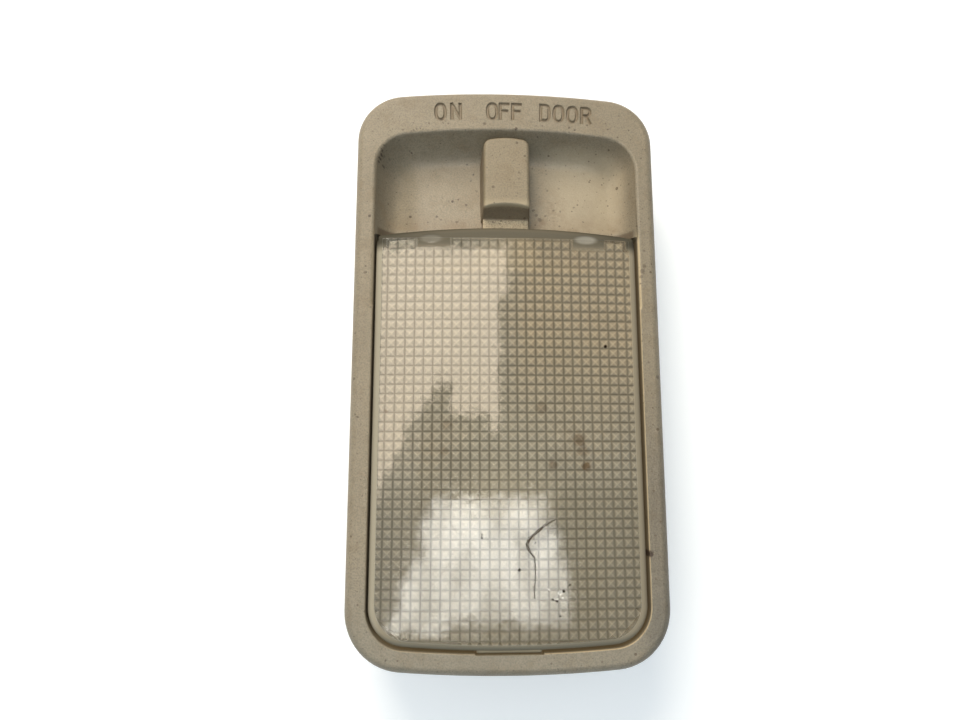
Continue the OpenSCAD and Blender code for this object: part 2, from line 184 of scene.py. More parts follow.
def finish_piece(ob, angle=32, scale=True):
    me = ob.data
    if scale:
        me.transform(Matrix.Scale(0.001, 4))
    for p in me.polygons:
        p.use_smooth = True
    me.set_sharp_from_angle(angle=math.radians(angle))
    w = ob.modifiers.new("normals", "WEIGHTED_NORMAL")
    w.keep_sharp = True
    w.weight = 60
    return ob


RIM = 25.3
DISH_Y, DISH_R, DISH_Z = 50.0, 60.0, 17.6
SEAT = 19.0


def dish(y, r=DISH_R):
    return DISH_Z + DISH_R - np.sqrt(np.maximum(r * r - (y - DISH_Y) ** 2, 1.0))


def smax(a, b, k):
    h = np.maximum(k - np.abs(a - b), 0.0)
    return np.maximum(a, b) + h * h / (4 * k)


# ---------------------------------------------------------------- housing


def lip_profile(start=0.0, r=0.32):
    """(inset, z) up the inner edge of the rim: a small quarter round, then straight out."""
    out = []
    for i in range(8):
        t = math.radians(start + (84 - start) * i / 7)
        out.append((-r * (math.cos(math.radians(start)) - math.cos(t)), RIM - r + r * math.sin(t)))
    out.append((out[-1][0] - 0.08, RIM + 0.02))
    out.append((out[-1][0], RIM + 1.5))
    return out


def build_housing():
    # rim with its rolled outer edge
    prof = [(0.25, 14.0), (0.0, 14.25), (0.0, 18.0), (0.0, 22.9)]
    for i in range(1, 15):
        t = math.radians(90 * i / 14)
        prof.append((2.1 * (1 - math.cos(t)), 22.9 + 2.4 * math.sin(t)))
    rings = dense([body_pts(d) for d, _ in prof], 6)
    h = loft("housing_moulding", [at(r, z) for r, (_, z) in zip(rings, prof)])
    boole(h, prism(body_pts(2.0), 13, 23.0))
    boole(h, prism(open_pts(-1.6), SEAT - 1.8, RIM - 2), "UNION")
    boole(h, prism(chamber_pts(-1.8), 0, SEAT), "UNION")
    boole(h, box(-33.7, 33.7, 35.0, 61.5, 13, 23.0))
    # shell of the bay
    k0, k1 = 24.1, 15.6
    shell = loft("s", [
        at(crowned(32.15 - 3.6 + 1.6 * 0.8 - 0.4, 58.1, -12, 200, 300, 8, 1), 13.6),
        at(crowned(33.75, 60.9, -12, 200, 300, 10.1, 1), k0),
    ])
    boole(shell, drum_solid(DISH_R + 1.8), "INTERSECT")
    boole(shell, box(-36, 36, 31.2, 63, 12, RIM - 0.5), "INTERSECT")
    boole(h, shell, "UNION")
    boole(h, box(-11.6, 11.6, 34.4, 47, 0.6, 14), "UNION")
    for k in (0, 1):
        boole(h, peg(0, 7.5 - 60 * k, 0.5, 4.2, 5.5, 56), "UNION")
    # opening over the lens, seat and chamber
    lip = lip_profile()
    pr = [(0.0, SEAT)] + lip
    rr = dense([seat_pts(d) for d, _ in pr], 6)
    boole(h, loft("t", [at(r, z) for r, (_, z) in zip(rr, pr)]))
    boole(h, prism(chamber_pts(0), 1.8, RIM))
    boole(h, box(-10, 10, 35.0, 48, 2.2, 12.4))
    # dished bay with its filleted walls
    depths = [0.05, 0.25, 0.5, 0.8, 1.1, 1.4, 1.7, 2.0, 2.3, 2.6, 2.9, 3.2, 3.5, 3.8, 4.1, 4.4,
              4.8, 5.2, 5.6, 6.0, 6.5, 7.0, 7.5]
    soft_lip = lip_profile(25.0, 0.95)
    flat = dense([bay_pts(d) for d, _ in reversed(soft_lip)] + [bay_pts(d) for d in depths], 1.2)
    zs = [z for _, z in reversed(soft_lip)]
    rings = [at(r, z) for r, z in zip(flat, zs)]
    for r, d in zip(flat[len(zs):], depths):
        side = np.clip((np.abs(r[:, 0]) - 22.0 + np.minimum(56.0 - r[:, 1], 0.0) * 1.2) / 7.0, 0, 1)
        side = side * side * (3 - 2 * side)
        wall = soft_lip[0][1] - (2.14 + 0.7 * side) * d
        front = 1 / (1 + np.exp(-(r[:, 1] - 25) / 1.2))
        z = smax(wall, dish(r[:, 1]), 7.6 + 2.2 * side)
        z = np.where(r[:, 1] < 33.0, dish(r[:, 1]) + (z - dish(r[:, 1])) * front, z)
        rings.append(at(r, np.minimum(z, 26.3)))
    last = flat[-1]
    for t in np.linspace(0, 1, 24)[1:-1]:
        p = last * (1 - t) + np.column_stack([np.clip(last[:, 0], -14, 14), np.full(len(last), 38.0)]) * t
        rings.append(at(p, np.minimum(dish(p[:, 1]), 26.3)))
    seg = np.column_stack([np.clip(last[:, 0], -14, 14), np.full(len(last), 38.0)])
    p = last * 0.02 + seg * 0.98
    rings.append(at(p, dish(p[:, 1])))
    tool = loft("bay", [r[::-1] for r in rings[::-1]][::-1])
    boole(h, tool)
    # legend, prising notch, windows of the lens's tabs, relief, holes
    boole(h, legend_solid())
    boole(h, box(-7.7, 7.7, -65.15, -63.95, 22.5, 27))
    for s in (1, -1):
        x0, x1 = sorted((s * 22, s * 29))
        boole(h, box(x0, x1, 31.8, 36, 15.6, 18.6))
    # rails, ribs, ledges and posts
    for s in (1, -1):
        for x0, x1, y0, y1, z1 in ((16.4, 24.6, -20, -16, 5.4), (8.4, 9.8, -26, -10, 4.6)):
            a, b = sorted((s * x0, s * x1))
            boole(h, box(a, b, y0, y1, 1, z1), "UNION")
        a, b = sorted((s * 28, s * 30))
        boole(h, box(a, b, 13.5, 32.4, 10.8, 12.4), "UNION")
        boole(h, peg(s * 25, 29.4, 1, 12.4, 1.9), "UNION")
    boole(h, box(-27.2, -24.4, -24, 29, 1, 4.6), "UNION")
    boole(h, box(24.4, 27.2, -24, 17.8, 1, 4.6), "UNION")
    boole(h, box(-24.6, 8, 26, 27, 1, 4.6), "UNION")
    for x in (-6, 0, 6):
        boole(h, box(x - 1.5, x + 1.5, 32.2, 36.2, 4.5, 5.5))
    for k in (0, 1):
        boole(h, peg(0, 7.5 - 60 * k, -1, 6, 2.6, 56))
    for s in (1, -1):
        boole(h, peg(s * 25, 29.4, 5, 13.4, 0.95, 24))
        boole(h, peg(s * 25.8, -18, 2.4, 5.6, 1.02, 24))
    return h


def drum_solid(r, x=44):
    a = np.linspace(math.radians(180), math.radians(360), 97)
    c = DISH_Z + DISH_R
    pts = np.stack([DISH_Y + r * np.cos(a), c + r * np.sin(a)], 1)
    v0 = np.column_stack([np.full(len(pts), -x), pts])
    v1 = np.column_stack([np.full(len(pts), x), pts])
    return loft("drum", [v1[::-1], v0[::-1]][::-1])


def stroke(pts, closed=False, w=0.74, wb=0.36, depth=0.46):
    """Groove along a polyline in the plane: a trapezium, wide at the rim's face."""
    p = np.asarray(pts, float)
    n = len(p)
    if closed:
        t0, t1 = p - np.roll(p, 1, 0), np.roll(p, -1, 0) - p
    else:
        t1 = np.concatenate([p[1:] - p[:-1], [p[-1] - p[-2]]])
        t0 = np.concatenate([[p[1] - p[0]], p[1:] - p[:-1]])
    t0 /= np.linalg.norm(t0, axis=1)[:, None]
    t1 /= np.linalg.norm(t1, axis=1)[:, None]
    t = t0 + t1
    t /= np.linalg.norm(t, axis=1)[:, None]
    nrm = np.stack([-t[:, 1], t[:, 0]], 1) / np.maximum(0.5, (t * t1).sum(1))[:, None]
    rows = []
    for sgn, ww, z in ((-1, w / 2 + 0.35, RIM + 0.5), (-1, w / 2, RIM), (-1, wb / 2, RIM - depth), (1, wb / 2, RIM - depth), (1, w / 2, RIM), (1, w / 2 + 0.35, RIM + 0.5)):
        if z == RIM:
            continue
        rows.append(at(p + sgn * nrm * ww, z))
    m = len(rows)
    v = np.concatenate(rows)
    f = []
    last = n if closed else n - 1
    for i in range(last):
        j = (i + 1) % n
        for k in range(m):
            kk = (k + 1) % m
            f.append((k * n + i, k * n + j, kk * n + j, kk * n + i))
    if not closed:
        f.append(tuple(k * n for k in range(m)))
        f.append(tuple(k * n + n - 1 for k in range(m - 1, -1, -1)))
    ob = make("s", v, f)
    fix_normals(ob)
    return ob


def fix_normals(ob):
    import bmesh
    bm = bmesh.new()
    bm.from_mesh(ob.data)
    bmesh.ops.recalc_face_normals(bm, faces=bm.faces)
    if bm.calc_volume(signed=True) < 0:
        bmesh.ops.reverse_faces(bm, faces=bm.faces)
    bm.to_mesh(ob.data)
    bm.free()


def glyph(c):
    """Strokes of a letter, cap height 4.6, as (points, closed)."""
    h, w = 2.05, 1.05
    k = np.arange(0, 13)
    if c == "O":
        w = 1.16
        a = [2 * math.pi * i / 28 for i in range(28)]
        return [([(w * math.copysign(abs(math.cos(t)) ** 0.82, math.cos(t)), h * math.copysign(abs(math.sin(t)) ** 0.86, math.sin(t))) for t in a], True)]
    if c == "N":
        return [([(-w, -h), (-w, h)], False), ([(-w, h), (w, -h)], False), ([(w, -h), (w, h)], False)]
    if c == "F":
        return [([(-w, -h), (-w, h)], False), ([(-w, h - 0.05), (w, h - 0.05)], False), ([(-w, 0.15), (w - 0.3, 0.15)], False)]
    if c == "D":
        up = [(w * math.sin(math.pi * i / 12), (h - w * 0.95) + w * 0.95 * math.cos(math.pi * i / 12)) for i in range(0, 7)]
        dn = [(x, -y) for x, y in up[::-1]]
        return [([(-w, h)] + up + dn + [(-w, -h)], True)]
    if c == "R":
        r = h / 2
        bow = [(0.15 + (w - 0.15) * math.sin(math.pi * i / 12), r + r * math.cos(math.pi * i / 12)) for i in k]
        return [([(-w, -h), (-w, h)], False), ([(-w, h)] + bow + [(-w, 0.0)], False), ([(0.1, 0.0), (w + 0.05, -h)], False)]


def legend_solid():
    whole = None
    for word, x, y, pitch in (("ON", -14.5, 64.5, 3.9), ("OFF", -0.4, 64.4, 3.1), ("DOOR", 15.0, 64.45, 3.45)):
        for i, c in enumerate(word):
            px = x + (i - (len(word) - 1) / 2) * pitch
            a = math.radians(-0.11 * px)
            for pts, closed in glyph(c):
                p = np.asarray(pts, float)
                if not closed:  # square ends reach past the corner by half a stroke
                    for e, q in ((0, 1), (-1, -2)):
                        dv = p[e] - p[q]
                        p[e] = p[e] + dv / np.linalg.norm(dv) * 0.24
                q = np.column_stack([
                    px + p[:, 0] * math.cos(a) - p[:, 1] * math.sin(a),
                    y - px * px / 520 + p[:, 0] * math.sin(a) + p[:, 1] * math.cos(a),
                ])
                s = stroke(q, closed)
                whole = s if whole is None else boole(whole, s, "UNION")
    return whole


# ---------------------------------------------------------------- lens

LENS_Z, LENS_R = 26.2, 350.0
PITCH = 2.215


def crown(x, z=LENS_Z, r=LENS_R):
    return z - (r - np.sqrt(r * r - x * x))


CRACK = [(10.88, -35.61), (9.38, -36.27), (8.0, -37.1), (6.73, -38.14), (5.6, -39.1), (4.66, -39.89), (3.97, -41.21),
         (4.2, -42.1), (4.63, -42.85), (5.63, -44.17), (5.71, -46.34), (5.77, -48.44), (5.54, -50.55), (5.51, -53.01)]


CHIPS = [(5.35, -39.6, 0.62), (5.75, -40.9, 0.40), (11.3, -51.9, 0.62), (10.5, -53.0, 0.50), (11.9, -52.9, 0.28), (8.79, -51.11, 0.32), (-11.5, -33.6, 0.32), (-6.2, -39.0, 0.26)]
SCRATCHES = [((-27.46, 12.78), (-21.33, 12.84), 0.16), ((-13.6, -36.2), (-11.2, -39.4), 0.14), ((-16.2, -48.9), (-13.1, -44.6), 0.10), ((8.3, -50.3), (8.9, -51.7), 0.14)]


def scratch(x0, y0, x1, y1, w):
    """Shallow score with tapered ends across the lens's face."""
    t = np.linspace(0, 1, 13)
    px = x0 + (x1 - x0) * t
    py = y0 + (y1 - y0) * t + 0.06 * np.sin(t * 9.0)
    d = np.array([x1 - x0, y1 - y0])
    d = np.array([-d[1], d[0]]) / np.linalg.norm(d)
    h = (w * (0.15 + np.sin(math.pi * t)) / 2)[:, None] * d
    mid = np.column_stack([px, py])
    ring = np.concatenate([mid + h, (mid - h)[::-1]])
    low = np.concatenate([mid + h * 0.3, (mid - h * 0.3)[::-1]])
    ob = loft("score", [at(low, crown(low[:, 0]) - 0.07), at(ring, crown(ring[:, 0]) + 0.01), at(ring, LENS_Z + 1)])
    fix_normals(ob)
    return ob


def build_lens():
    prof = [(0.15, 19.1), (0.0, 19.25), (0.0, 21.4), (0.0, 23.4)]
    rings2 = [lens_pts(d, top=33.5 + 0.55 * (z > 21)) for d, z in prof]
    steps = 10
    ds = [1.75 * (1 - math.cos(math.radians(90 * i / steps))) for i in range(1, steps + 1)]
    rings2 += [lens_pts(d, top=34.05) for d in ds]
    rings2 = dense(rings2, 4.0)
    rings = [at(r, z) for r, (_, z) in zip(rings2, prof)]
    for i, r in enumerate(rings2[len(prof):], 1):
        s = math.sin(math.radians(90 * i / steps))
        rings.append(at(r, 23.4 + (crown(r[:, 0]) - 23.4) * s))
    last = rings2[-1]
    mid = np.column_stack([np.zeros(len(last)), np.clip(last[:, 1], -50, 20)])
    for t in np.linspace(0, 1, 22)[1:-1]:
        p = last * (1 - t) + mid * t
        rings.append(at(p, crown(p[:, 0])))
    p = last * 0.01 + mid * 0.99
    rings.append(at(p, LENS_Z))
    body = loft("lens_moulding", rings)
    # prising tab and tilting tabs
    tab = loft("t", [at(rounded(-7.3 + i, 7.3 - i, -64.9 + i, -62.9, 0.4), z) for i, z in ((0.12, 22.8), (0, 22.95), (0, 24.25), (0.25, 24.5))])
    boole(body, tab, "UNION")
    # hollow with the prisms in its ceiling
    hollow = prism(lens_pts(1.35), 18, 25.8)
    boole(hollow, prism_field(), "INTERSECT")
    boole(body, hollow)
    boole(body, box(-21.5, 21.5, 30, 36, 18, 22.9))
    for s in (1, -1):
        a, b = sorted((s * 28.4, s * 33))
        boole(body, box(a, b, 30.2, 36, 17, 24.15))
        a, b = sorted((s * 30.9, s * 33))
        boole(body, box(a, b, 30.4, 36, 24.0, 24.42))
        a, b = sorted((s * 21.4, s * 28.6))
        boole(body, box(a, b, 31.6, 36, 17, 20.9))
        a, b = sorted((s * 22.5, s * 28.5))
        boole(body, box(a, b, 30.4, 31.5, 17.4, 20), "UNION")
        boole(body, box(a, b, 30.4, 34.6, 17.4, 18.4), "UNION")
    for x, y in ((-18.45, 31.0), (19.25, 31.2)):
        boole(body, dimple(x, y, 2.3, 0.14))
    boole(body, crack_solid())
    for x, y, r in CHIPS:
        boole(body, chip(x, y, r))
    for (x0, y0), (x1, y1), w in SCRATCHES:
        boole(body, scratch(x0, y0, x1, y1, w))
    return body


def rounded(x0, x1, y0, y1, r, k=5):
    """Rectangle whose two corners at y0 are rounded."""
    out = []
    for i in range(k + 1):
        a = math.radians(180 + 90 * i / k)
        out.append((x0 + r + r * math.cos(a), y0 + r + r * math.sin(a)))
    for i in range(k + 1):
        a = math.radians(270 + 90 * i / k)
        out.append((x1 - r + r * math.cos(a), y0 + r + r * math.sin(a)))
    return out + [(x1, y1), (x0, y1)]


PRISM_DEPTH = 0.34
ROW0 = 30.72


def prism_field():
    """Block whose top is the lens's inner ceiling: rows of small square pyramids sunk into it."""
    xs = np.concatenate([[-34.0], np.arange(29) * PITCH - 14 * PITCH, [34.0]])
    ys = np.concatenate([[-70.0], ROW0 - PITCH * np.arange(43, -1, -1), [40.0]])
    nx, ny = len(xs), len(ys)

    def ceiling(x):
        return crown(x, LENS_Z - 2.25, LENS_R - 2.25)

    v = [(x, y, ceiling(x)) for y in ys for x in xs]
    f = []
    for j in range(ny - 1):
        for i in range(nx - 1):
            a, b, c, d = j * nx + i, j * nx + i + 1, (j + 1) * nx + i + 1, (j + 1) * nx + i
            cx, cy = (xs[i] + xs[i + 1]) / 2, (ys[j] + ys[j + 1]) / 2
            cell = 1 <= i <= nx - 3 and 1 <= j <= ny - 3
            if cell and j == ny - 3:
                cell = -12.9 < cx < 14.6 or -29.0 < cx < -22.3 or 23.4 < cx < 29.0
            if cell:
                v.append((cx, cy, ceiling(cx) + PRISM_DEPTH))
                e = len(v) - 1
                f += [(a, b, e), (b, c, e), (c, d, e), (d, a, e)]
            else:
                f.append((a, b, c, d))
    base = len(v)
    v += [(x, y, 17.0) for x, y in ((xs[0], ys[0]), (xs[-1], ys[0]), (xs[-1], ys[-1]), (xs[0], ys[-1]))]
    f.append((base + 3, base + 2, base + 1, base))
    f.append(tuple([base, base + 1] + [i for i in range(nx - 1, -1, -1)]))
    f.append(tuple([base + 2, base + 3] + [(ny - 1) * nx + i for i in range(nx)]))
    f.append(tuple([base + 1, base + 2] + [j * nx + nx - 1 for j in range(ny - 1, -1, -1)]))
    f.append(tuple([base + 3, base] + [j * nx for j in range(ny)]))
    ob = make("field", v, f)
    fix_normals(ob)
    return ob


def dimple(x, y, r, depth):
    """Shallow bowl sunk into the lens's face."""
    a = np.arange(48) * 2 * math.pi / 48
    rings = []
    for i in range(1, 9):
        t = i / 8
        p = np.stack([x + r * t * np.cos(a), y + 0.7 * r * t * np.sin(a)], 1)
        rings.append(at(p, crown(p[:, 0]) - depth * (1 - t * t) + 0.004 * t))
    rings.append(at(rings[-1][:, :2], LENS_Z + 1))
    return loft("dimple", rings, start_fan=(x, y, float(crown(x)) - depth))


def crack_solid():
    p = np.asarray(CRACK, float)
    t = np.gradient(p, axis=0)
    t /= np.linalg.norm(t, axis=1)[:, None]
    nrm = np.stack([-t[:, 1], t[:, 0]], 1)
    k = np.linspace(0, 1, len(p))
    w = (0.16 + 0.19 * np.sin(math.pi * np.clip(k * 1.35, 0, 1)) + 0.04 * np.sin(k * 37))[:, None]
    side = np.concatenate([p + nrm * w, (p - nrm * w)[::-1]])
    deep = np.concatenate([p + nrm * 0.04 + [0.06, 0.03], (p - nrm * 0.04 + [0.06, 0.03])[::-1]])
    ob = loft("crack", [at(deep, 25.45), at(side, LENS_Z - 0.03), at(side, LENS_Z + 1)])
    fix_normals(ob)
    return ob


def chip(x, y, r):
    a = np.arange(9) * 2 * math.pi / 9
    w = 1 + 0.25 * np.sin(a * 3 + x)
    ring = np.stack([x + r * w * np.cos(a), y + 0.8 * r * w * np.sin(a)], 1)
    inner = np.stack([x + 0.35 * r * np.cos(a), y + 0.3 * r * np.sin(a)], 1)
    top = float(crown(x))
    ob = loft("chip", [at(inner, top - 0.32), at(ring, top + 0.01), at(ring, LENS_Z + 1)])
    fix_normals(ob)
    return ob


# ---------------------------------------------------------------- thumb piece


def knob_ring(w, y0, y1, r, bulge, z):
    pts = []
    for i in range(9):
        a = math.radians(90 * i / 8)
        pts.append((w / 2 - r + r * math.cos(a), y1 - r + r * math.sin(a)))
    for i in range(1, 8):  # crowned far end
        u = 1 - 2 * i / 8
        pts.append(((w / 2 - r) * u, y1 + 0.35 * (1 - u * u)))
    for i in range(9):
        a = math.radians(90 + 90 * i / 8)
        pts.append((-(w / 2 - r) + r * math.cos(a), y1 - r + r * math.sin(a)))
    rf = 0.55
    for i in range(5):
        a = math.radians(180 + 90 * i / 4)
        pts.append((-w / 2 + rf + rf * math.cos(a), y0 + rf + rf * math.sin(a)))
    for i in range(1, 12):
        u = -1 + 2 * i / 12
        pts.append(((w / 2 - rf) * u, y0 + bulge * (1 - u * u)))
    for i in range(5):
        a = math.radians(270 + 90 * i / 4)
        pts.append((w / 2 - rf + rf * math.cos(a), y0 + rf + rf * math.sin(a)))
    return at(pts, z)


def build_knob():
    rings = []
    for z in (16.9, 18.5, 20.0, 21.0):
        k = (26.2 - z) / 8.4
        rings.append(knob_ring(11.2 + 1.3 * k, 37.15 - 0.05 * k, 57.0 - 2.0 * k, 2.1, 0.0, z))
    for i in range(0, 11):  # scooped front
        z = 21.75 + (25.2 - 21.75) * i / 10
        k = (26.2 - z) / 8.4
        s = (25.2 - z) / (25.2 - 21.75)
        y0 = 37.3 + 1.6 * (1 - s ** 1.7)
        rings.append(knob_ring(11.2 + 1.3 * k, y0, 57.0 - 2.0 * k, 2.1, 0.62 * (1 - s), z))
    for i in range(1, 8):  # rounded edge of the top
        t = math.radians(88 * i / 7)
        r = 0.95
        z = 25.2 + r * math.sin(t)
        d = r * (1 - math.cos(t))
        rings.append(knob_ring(11.33 - 2 * d, 38.9 + 0.8 * d, 56.85 - d, max(2.1 - d, 1), 0.62, z))
    k = loft("knob_moulding", rings)
    boole(k, drum_solid(DISH_R - 0.3), "INTERSECT")
    tongue = loft("t", [at(rounded_all(-5.7 + i, 5.7 - i, 24, 41, 0.3), z) for i, z in ((0, 20.6), (0, 21.6), (0.1, 21.78), (0.28, 21.85))])
    boole(k, tongue, "UNION")
    boole(k, box(-7.5, 7.5, 17.1, 30, 17, 20.6), "UNION")
    boole(k, box(-7.5, 7.5, 23.8, 30, 20.5, 21.85), "UNION")
    a = np.arange(32) * 2 * math.pi / 32
    hole = [np.column_stack([1.6 * np.cos(a), np.full(32, y), 18.9 + 1.6 * np.sin(a)]) for y in (16.0, 26.0)]
    t = loft("t", hole)
    fix_normals(t)
    boole(k, t)
    room = box(-4.5, 4.5, 42, 53.2, 16, 24.2)
    boole(room, drum_solid(DISH_R + 5), "INTERSECT")
    boole(k, room)
    return k


def rounded_all(x0, x1, y0, y1, r, k=4):
    out = []
    for cx, cy, a0 in ((x1 - r, y1 - r, 0), (x0 + r, y1 - r, 90), (x0 + r, y0 + r, 180), (x1 - r, y0 + r, 270)):
        for i in range(k + 1):
            a = math.radians(a0 + 90 * i / k)
            out.append((cx + r * math.cos(a), cy + r * math.sin(a)))
    return out


# ---------------------------------------------------------------- node helpers


class Mat:
    def __init__(self, name):
        self.m = bpy.data.materials.new(name)
        self.m.use_nodes = True
        self.nt = self.m.node_tree
        self.nt.nodes.clear()
        self.out = self.nt.nodes.new("ShaderNodeOutputMaterial")
        self.p = self.nt.nodes.new("ShaderNodeBsdfPrincipled")
        self.nt.links.new(self.p.outputs[0], self.out.inputs[0])
        tc = self.nt.nodes.new("ShaderNodeTexCoord")
        mp = self.nt.nodes.new("ShaderNodeMapping")
        mp.inputs["Scale"].default_value = (1000, 1000, 1000)
        self.link(tc.outputs["Object"], mp.inputs["Vector"])
        self.co = mp.outputs[0]  # millimetres

    def link(self, a, b):
        self.nt.links.new(a, b)

    def put(self, x, sock):
        if isinstance(x, (int, float)):
            sock.default_value = x
        elif isinstance(x, tuple):
            sock.default_value = x if len(x) == len(sock.default_value) else (*x, 1.0)
        else:
            self.link(x, sock)

    def math(self, op, a, b=0.0, c=0.0, clamp=False):
        n = self.nt.nodes.new("ShaderNodeMath")
        n.operation, n.use_clamp = op, clamp
        for x, s in zip((a, b, c), n.inputs):
            self.put(x, s)
        return n.outputs[0]

    def noise(self, scale, detail=2.0, rough=0.5, co=None, dist=0.0):
        n = self.nt.nodes.new("ShaderNodeTexNoise")
        n.inputs["Scale"].default_value = scale
        n.inputs["Detail"].default_value = detail
        n.inputs["Roughness"].default_value = rough
        n.inputs["Distortion"].default_value = dist
        self.link(co or self.co, n.inputs["Vector"])
        return n.outputs[0]

    def voronoi(self, scale, feature="F1", co=None):
        n = self.nt.nodes.new("ShaderNodeTexVoronoi")
        n.feature = feature
        n.inputs["Scale"].default_value = scale
        self.link(co or self.co, n.inputs["Vector"])
        return n

    def ramp(self, x, lo, hi, a=0.0, b=1.0, smooth=True):
        n = self.nt.nodes.new("ShaderNodeMapRange")
        n.interpolation_type = "SMOOTHSTEP" if smooth else "LINEAR"
        for v, s in zip((x, lo, hi, a, b), ("Value", "From Min", "From Max", "To Min", "To Max")):
            self.put(v, n.inputs[s])
        return n.outputs[0]

    def mix(self, f, a, b, kind="MIX"):
        n = self.nt.nodes.new("ShaderNodeMix")
        n.data_type = "RGBA"
        n.blend_type = kind
        self.put(f, n.inputs[0])
        self.put(a, n.inputs[6])
        self.put(b, n.inputs[7])
        return n.outputs[2]

    def xyz(self):
        n = self.nt.nodes.new("ShaderNodeSeparateXYZ")
        self.link(self.co, n.inputs[0])
        return n.outputs

    def scaled(self, sx, sy, sz, co=None):
        n = self.nt.nodes.new("ShaderNodeVectorMath")
        n.operation = "MULTIPLY"
        self.link(co or self.co, n.inputs[0])
        n.inputs[1].default_value = (sx, sy, sz)
        return n.outputs[0]

    def wobble(self, amount, scale):
        """Coordinates shaken by noise, flattened to the plane of the lamp."""
        n = self.nt.nodes.new("ShaderNodeTexNoise")
        n.inputs["Scale"].default_value = scale
        n.inputs["Detail"].default_value = 2
        self.link(self.co, n.inputs["Vector"])
        s = self.nt.nodes.new("ShaderNodeVectorMath")
        s.operation = "SUBTRACT"
        self.link(n.outputs["Color"], s.inputs[0])
        s.inputs[1].default_value = (0.5, 0.5, 0.5)
        t = self.nt.nodes.new("ShaderNodeVectorMath")
        t.operation = "MULTIPLY_ADD"
        self.link(s.outputs[0], t.inputs[0])
        t.inputs[1].default_value = (amount, amount, amount)
        self.link(self.co, t.inputs[2])
        return self.scaled(1, 1, 0, t.outputs[0])

    def spots(self, co, marks):
        """Largest of several soft round marks (x, y, radius, strength) in the plane."""
        out = None
        for x, y, r, s in marks:
            d = self.nt.nodes.new("ShaderNodeVectorMath")
            d.operation = "DISTANCE"
            self.link(co, d.inputs[0])
            d.inputs[1].default_value = (x, y, 0)
            v = self.ramp(d.outputs["Value"], r * 0.55, r * 1.15, s, 0.0)
            out = v if out is None else self.math("MAXIMUM", out, v)
        return out

    def bump(self, h, dist, strength=1.0, normal=None):
        n = self.nt.nodes.new("ShaderNodeBump")
        n.inputs["Strength"].default_value = strength
        n.inputs["Distance"].default_value = dist
        self.link(h, n.inputs["Height"])
        if normal is not None:
            self.link(normal, n.inputs["Normal"])
        return n.outputs[0]

    def set(self, **k):
        for name, v in k.items():
            self.put(v, self.p.inputs[name.replace("_", " ")])


def wear(ob, mat, slot):
    ob.data.materials.clear()
    ob.data.materials.append(mat)


# ---------------------------------------------------------------- materials

RIM_MARKS = [
    (-27.38, -65.84, 0.30, 0.8), (10.64, -68.06, 0.22, 0.7), (12.34, -68.92, 0.2, 0.6), (2.47, 59.88, 0.45, 0.9),
    (15.9, 60.35, 0.3, 0.8), (17.25, 59.73, 0.25, 0.8), (25.63, 60.1, 0.2, 0.7), (30.98, 59.97, 0.22, 0.7),
    (34.96, 54.81, 0.22, 0.6), (-33.91, 22.24, 0.26, 0.7), (-35.0, -12.48, 0.3, 0.7), (-33.45, -30.42, 0.2, 0.6),
    (34.21, -10.16, 0.25, 0.7), (35.81, -2.77, 0.5, 0.5), 
    (32.35, -43.55, 0.85, 1.0), (-31.6, 50.9, 0.30, 0.7), (-31.4, 51.8, 0.34, 0.8),
    (-31.0, 52.7, 0.34, 0.85), (-30.8, 53.6, 0.30, 0.7), (-30.4, 54.8, 0.24, 0.5), (-23.7, 58.6, 0.26, 0.5),
    (-23.1, 58.9, 0.28, 0.6), (-22.3, 59.2, 0.30, 0.6), (-21.4, 59.4, 0.26, 0.6), (-20.8, 59.2, 0.24, 0.5),
    (-15.9, 61.0, 0.32, 0.45), (-5.4, 61.0, 0.45, 0.6), (-33.4, 36.35, 0.40, 0.9), (33.6, 24.5, 0.50, 0.5),
    (33.1, 23.2, 0.60, 0.5), (32.7, 21.9, 0.45, 0.5), (33.7, 28.4, 0.3, 0.45), (-34.0, 23.7, 0.3, 0.6),
]
BAY_MARKS = [
    (-9.63, 53.49, 0.3, 0.75), (-7.92, 50.89, 0.32, 0.85), (-6.11, 50.43, 0.2, 0.7),
    (-8.59, 49.13, 0.28, 0.7), (-19.87, 47.29, 0.2, 0.6), (-13.31, 43.36, 0.42, 0.95), (-9.86, 42.34, 0.4, 0.7),
    (11.2, 46.8, 0.35, 0.4), (14.2, 47.4, 0.28, 0.35), (14.4, 41.0, 0.32, 0.4), (10.5, 39.6, 0.35, 0.45),
    (16.1, 53.6, 0.22, 0.6), (20.1, 38.0, 0.22, 0.55), (-30.7, 50.6, 0.40, 0.6), (-29.3, 52.9, 0.25, 0.5),
    (-24.0, 38.8, 0.42, 0.8), (-17.3, 38.9, 0.36, 0.8), (-19.5, 37.3, 0.28, 0.6), (8.2, 39.8, 0.5, 0.55),
    (9.0, 38.4, 0.6, 0.55), (7.4, 41.1, 0.45, 0.55), (12.6, 41.2, 0.3, 0.5), (17.9, 42.2, 0.3, 0.45), (11.0, 51.4, 0.22, 0.5),
]
LENS_MARKS = [
    (23.36, 4.49, 0.46, 1.0), (2.21, -46.75, 0.42, 1.0), (13.55, -50.07, 0.30, 0.9), (11.29, -56.82, 0.28, 0.9),
    (-6.2, -39.73, 0.32, 0.9), (12.15, -51.5, 0.38, 1.0), (10.6, -53.5, 0.36, 1.0), (9.7, -53.25, 0.30, 0.9),
]
LENS_STAINS = [
    (7.76, -10.23, 1.5, 0.5), (16.58, -17.69, 1.6, 0.75), (18.07, -23.69, 1.3, 1.0), (10.13, -23.46, 1.1, 0.65),
    (-14.27, -14.26, 1.3, 0.45), (-14.81, -20.49, 1.0, 0.4), (-28.46, -11.28, 0.6, 0.7), (17.2, -20.4, 1.6, 0.5),
]


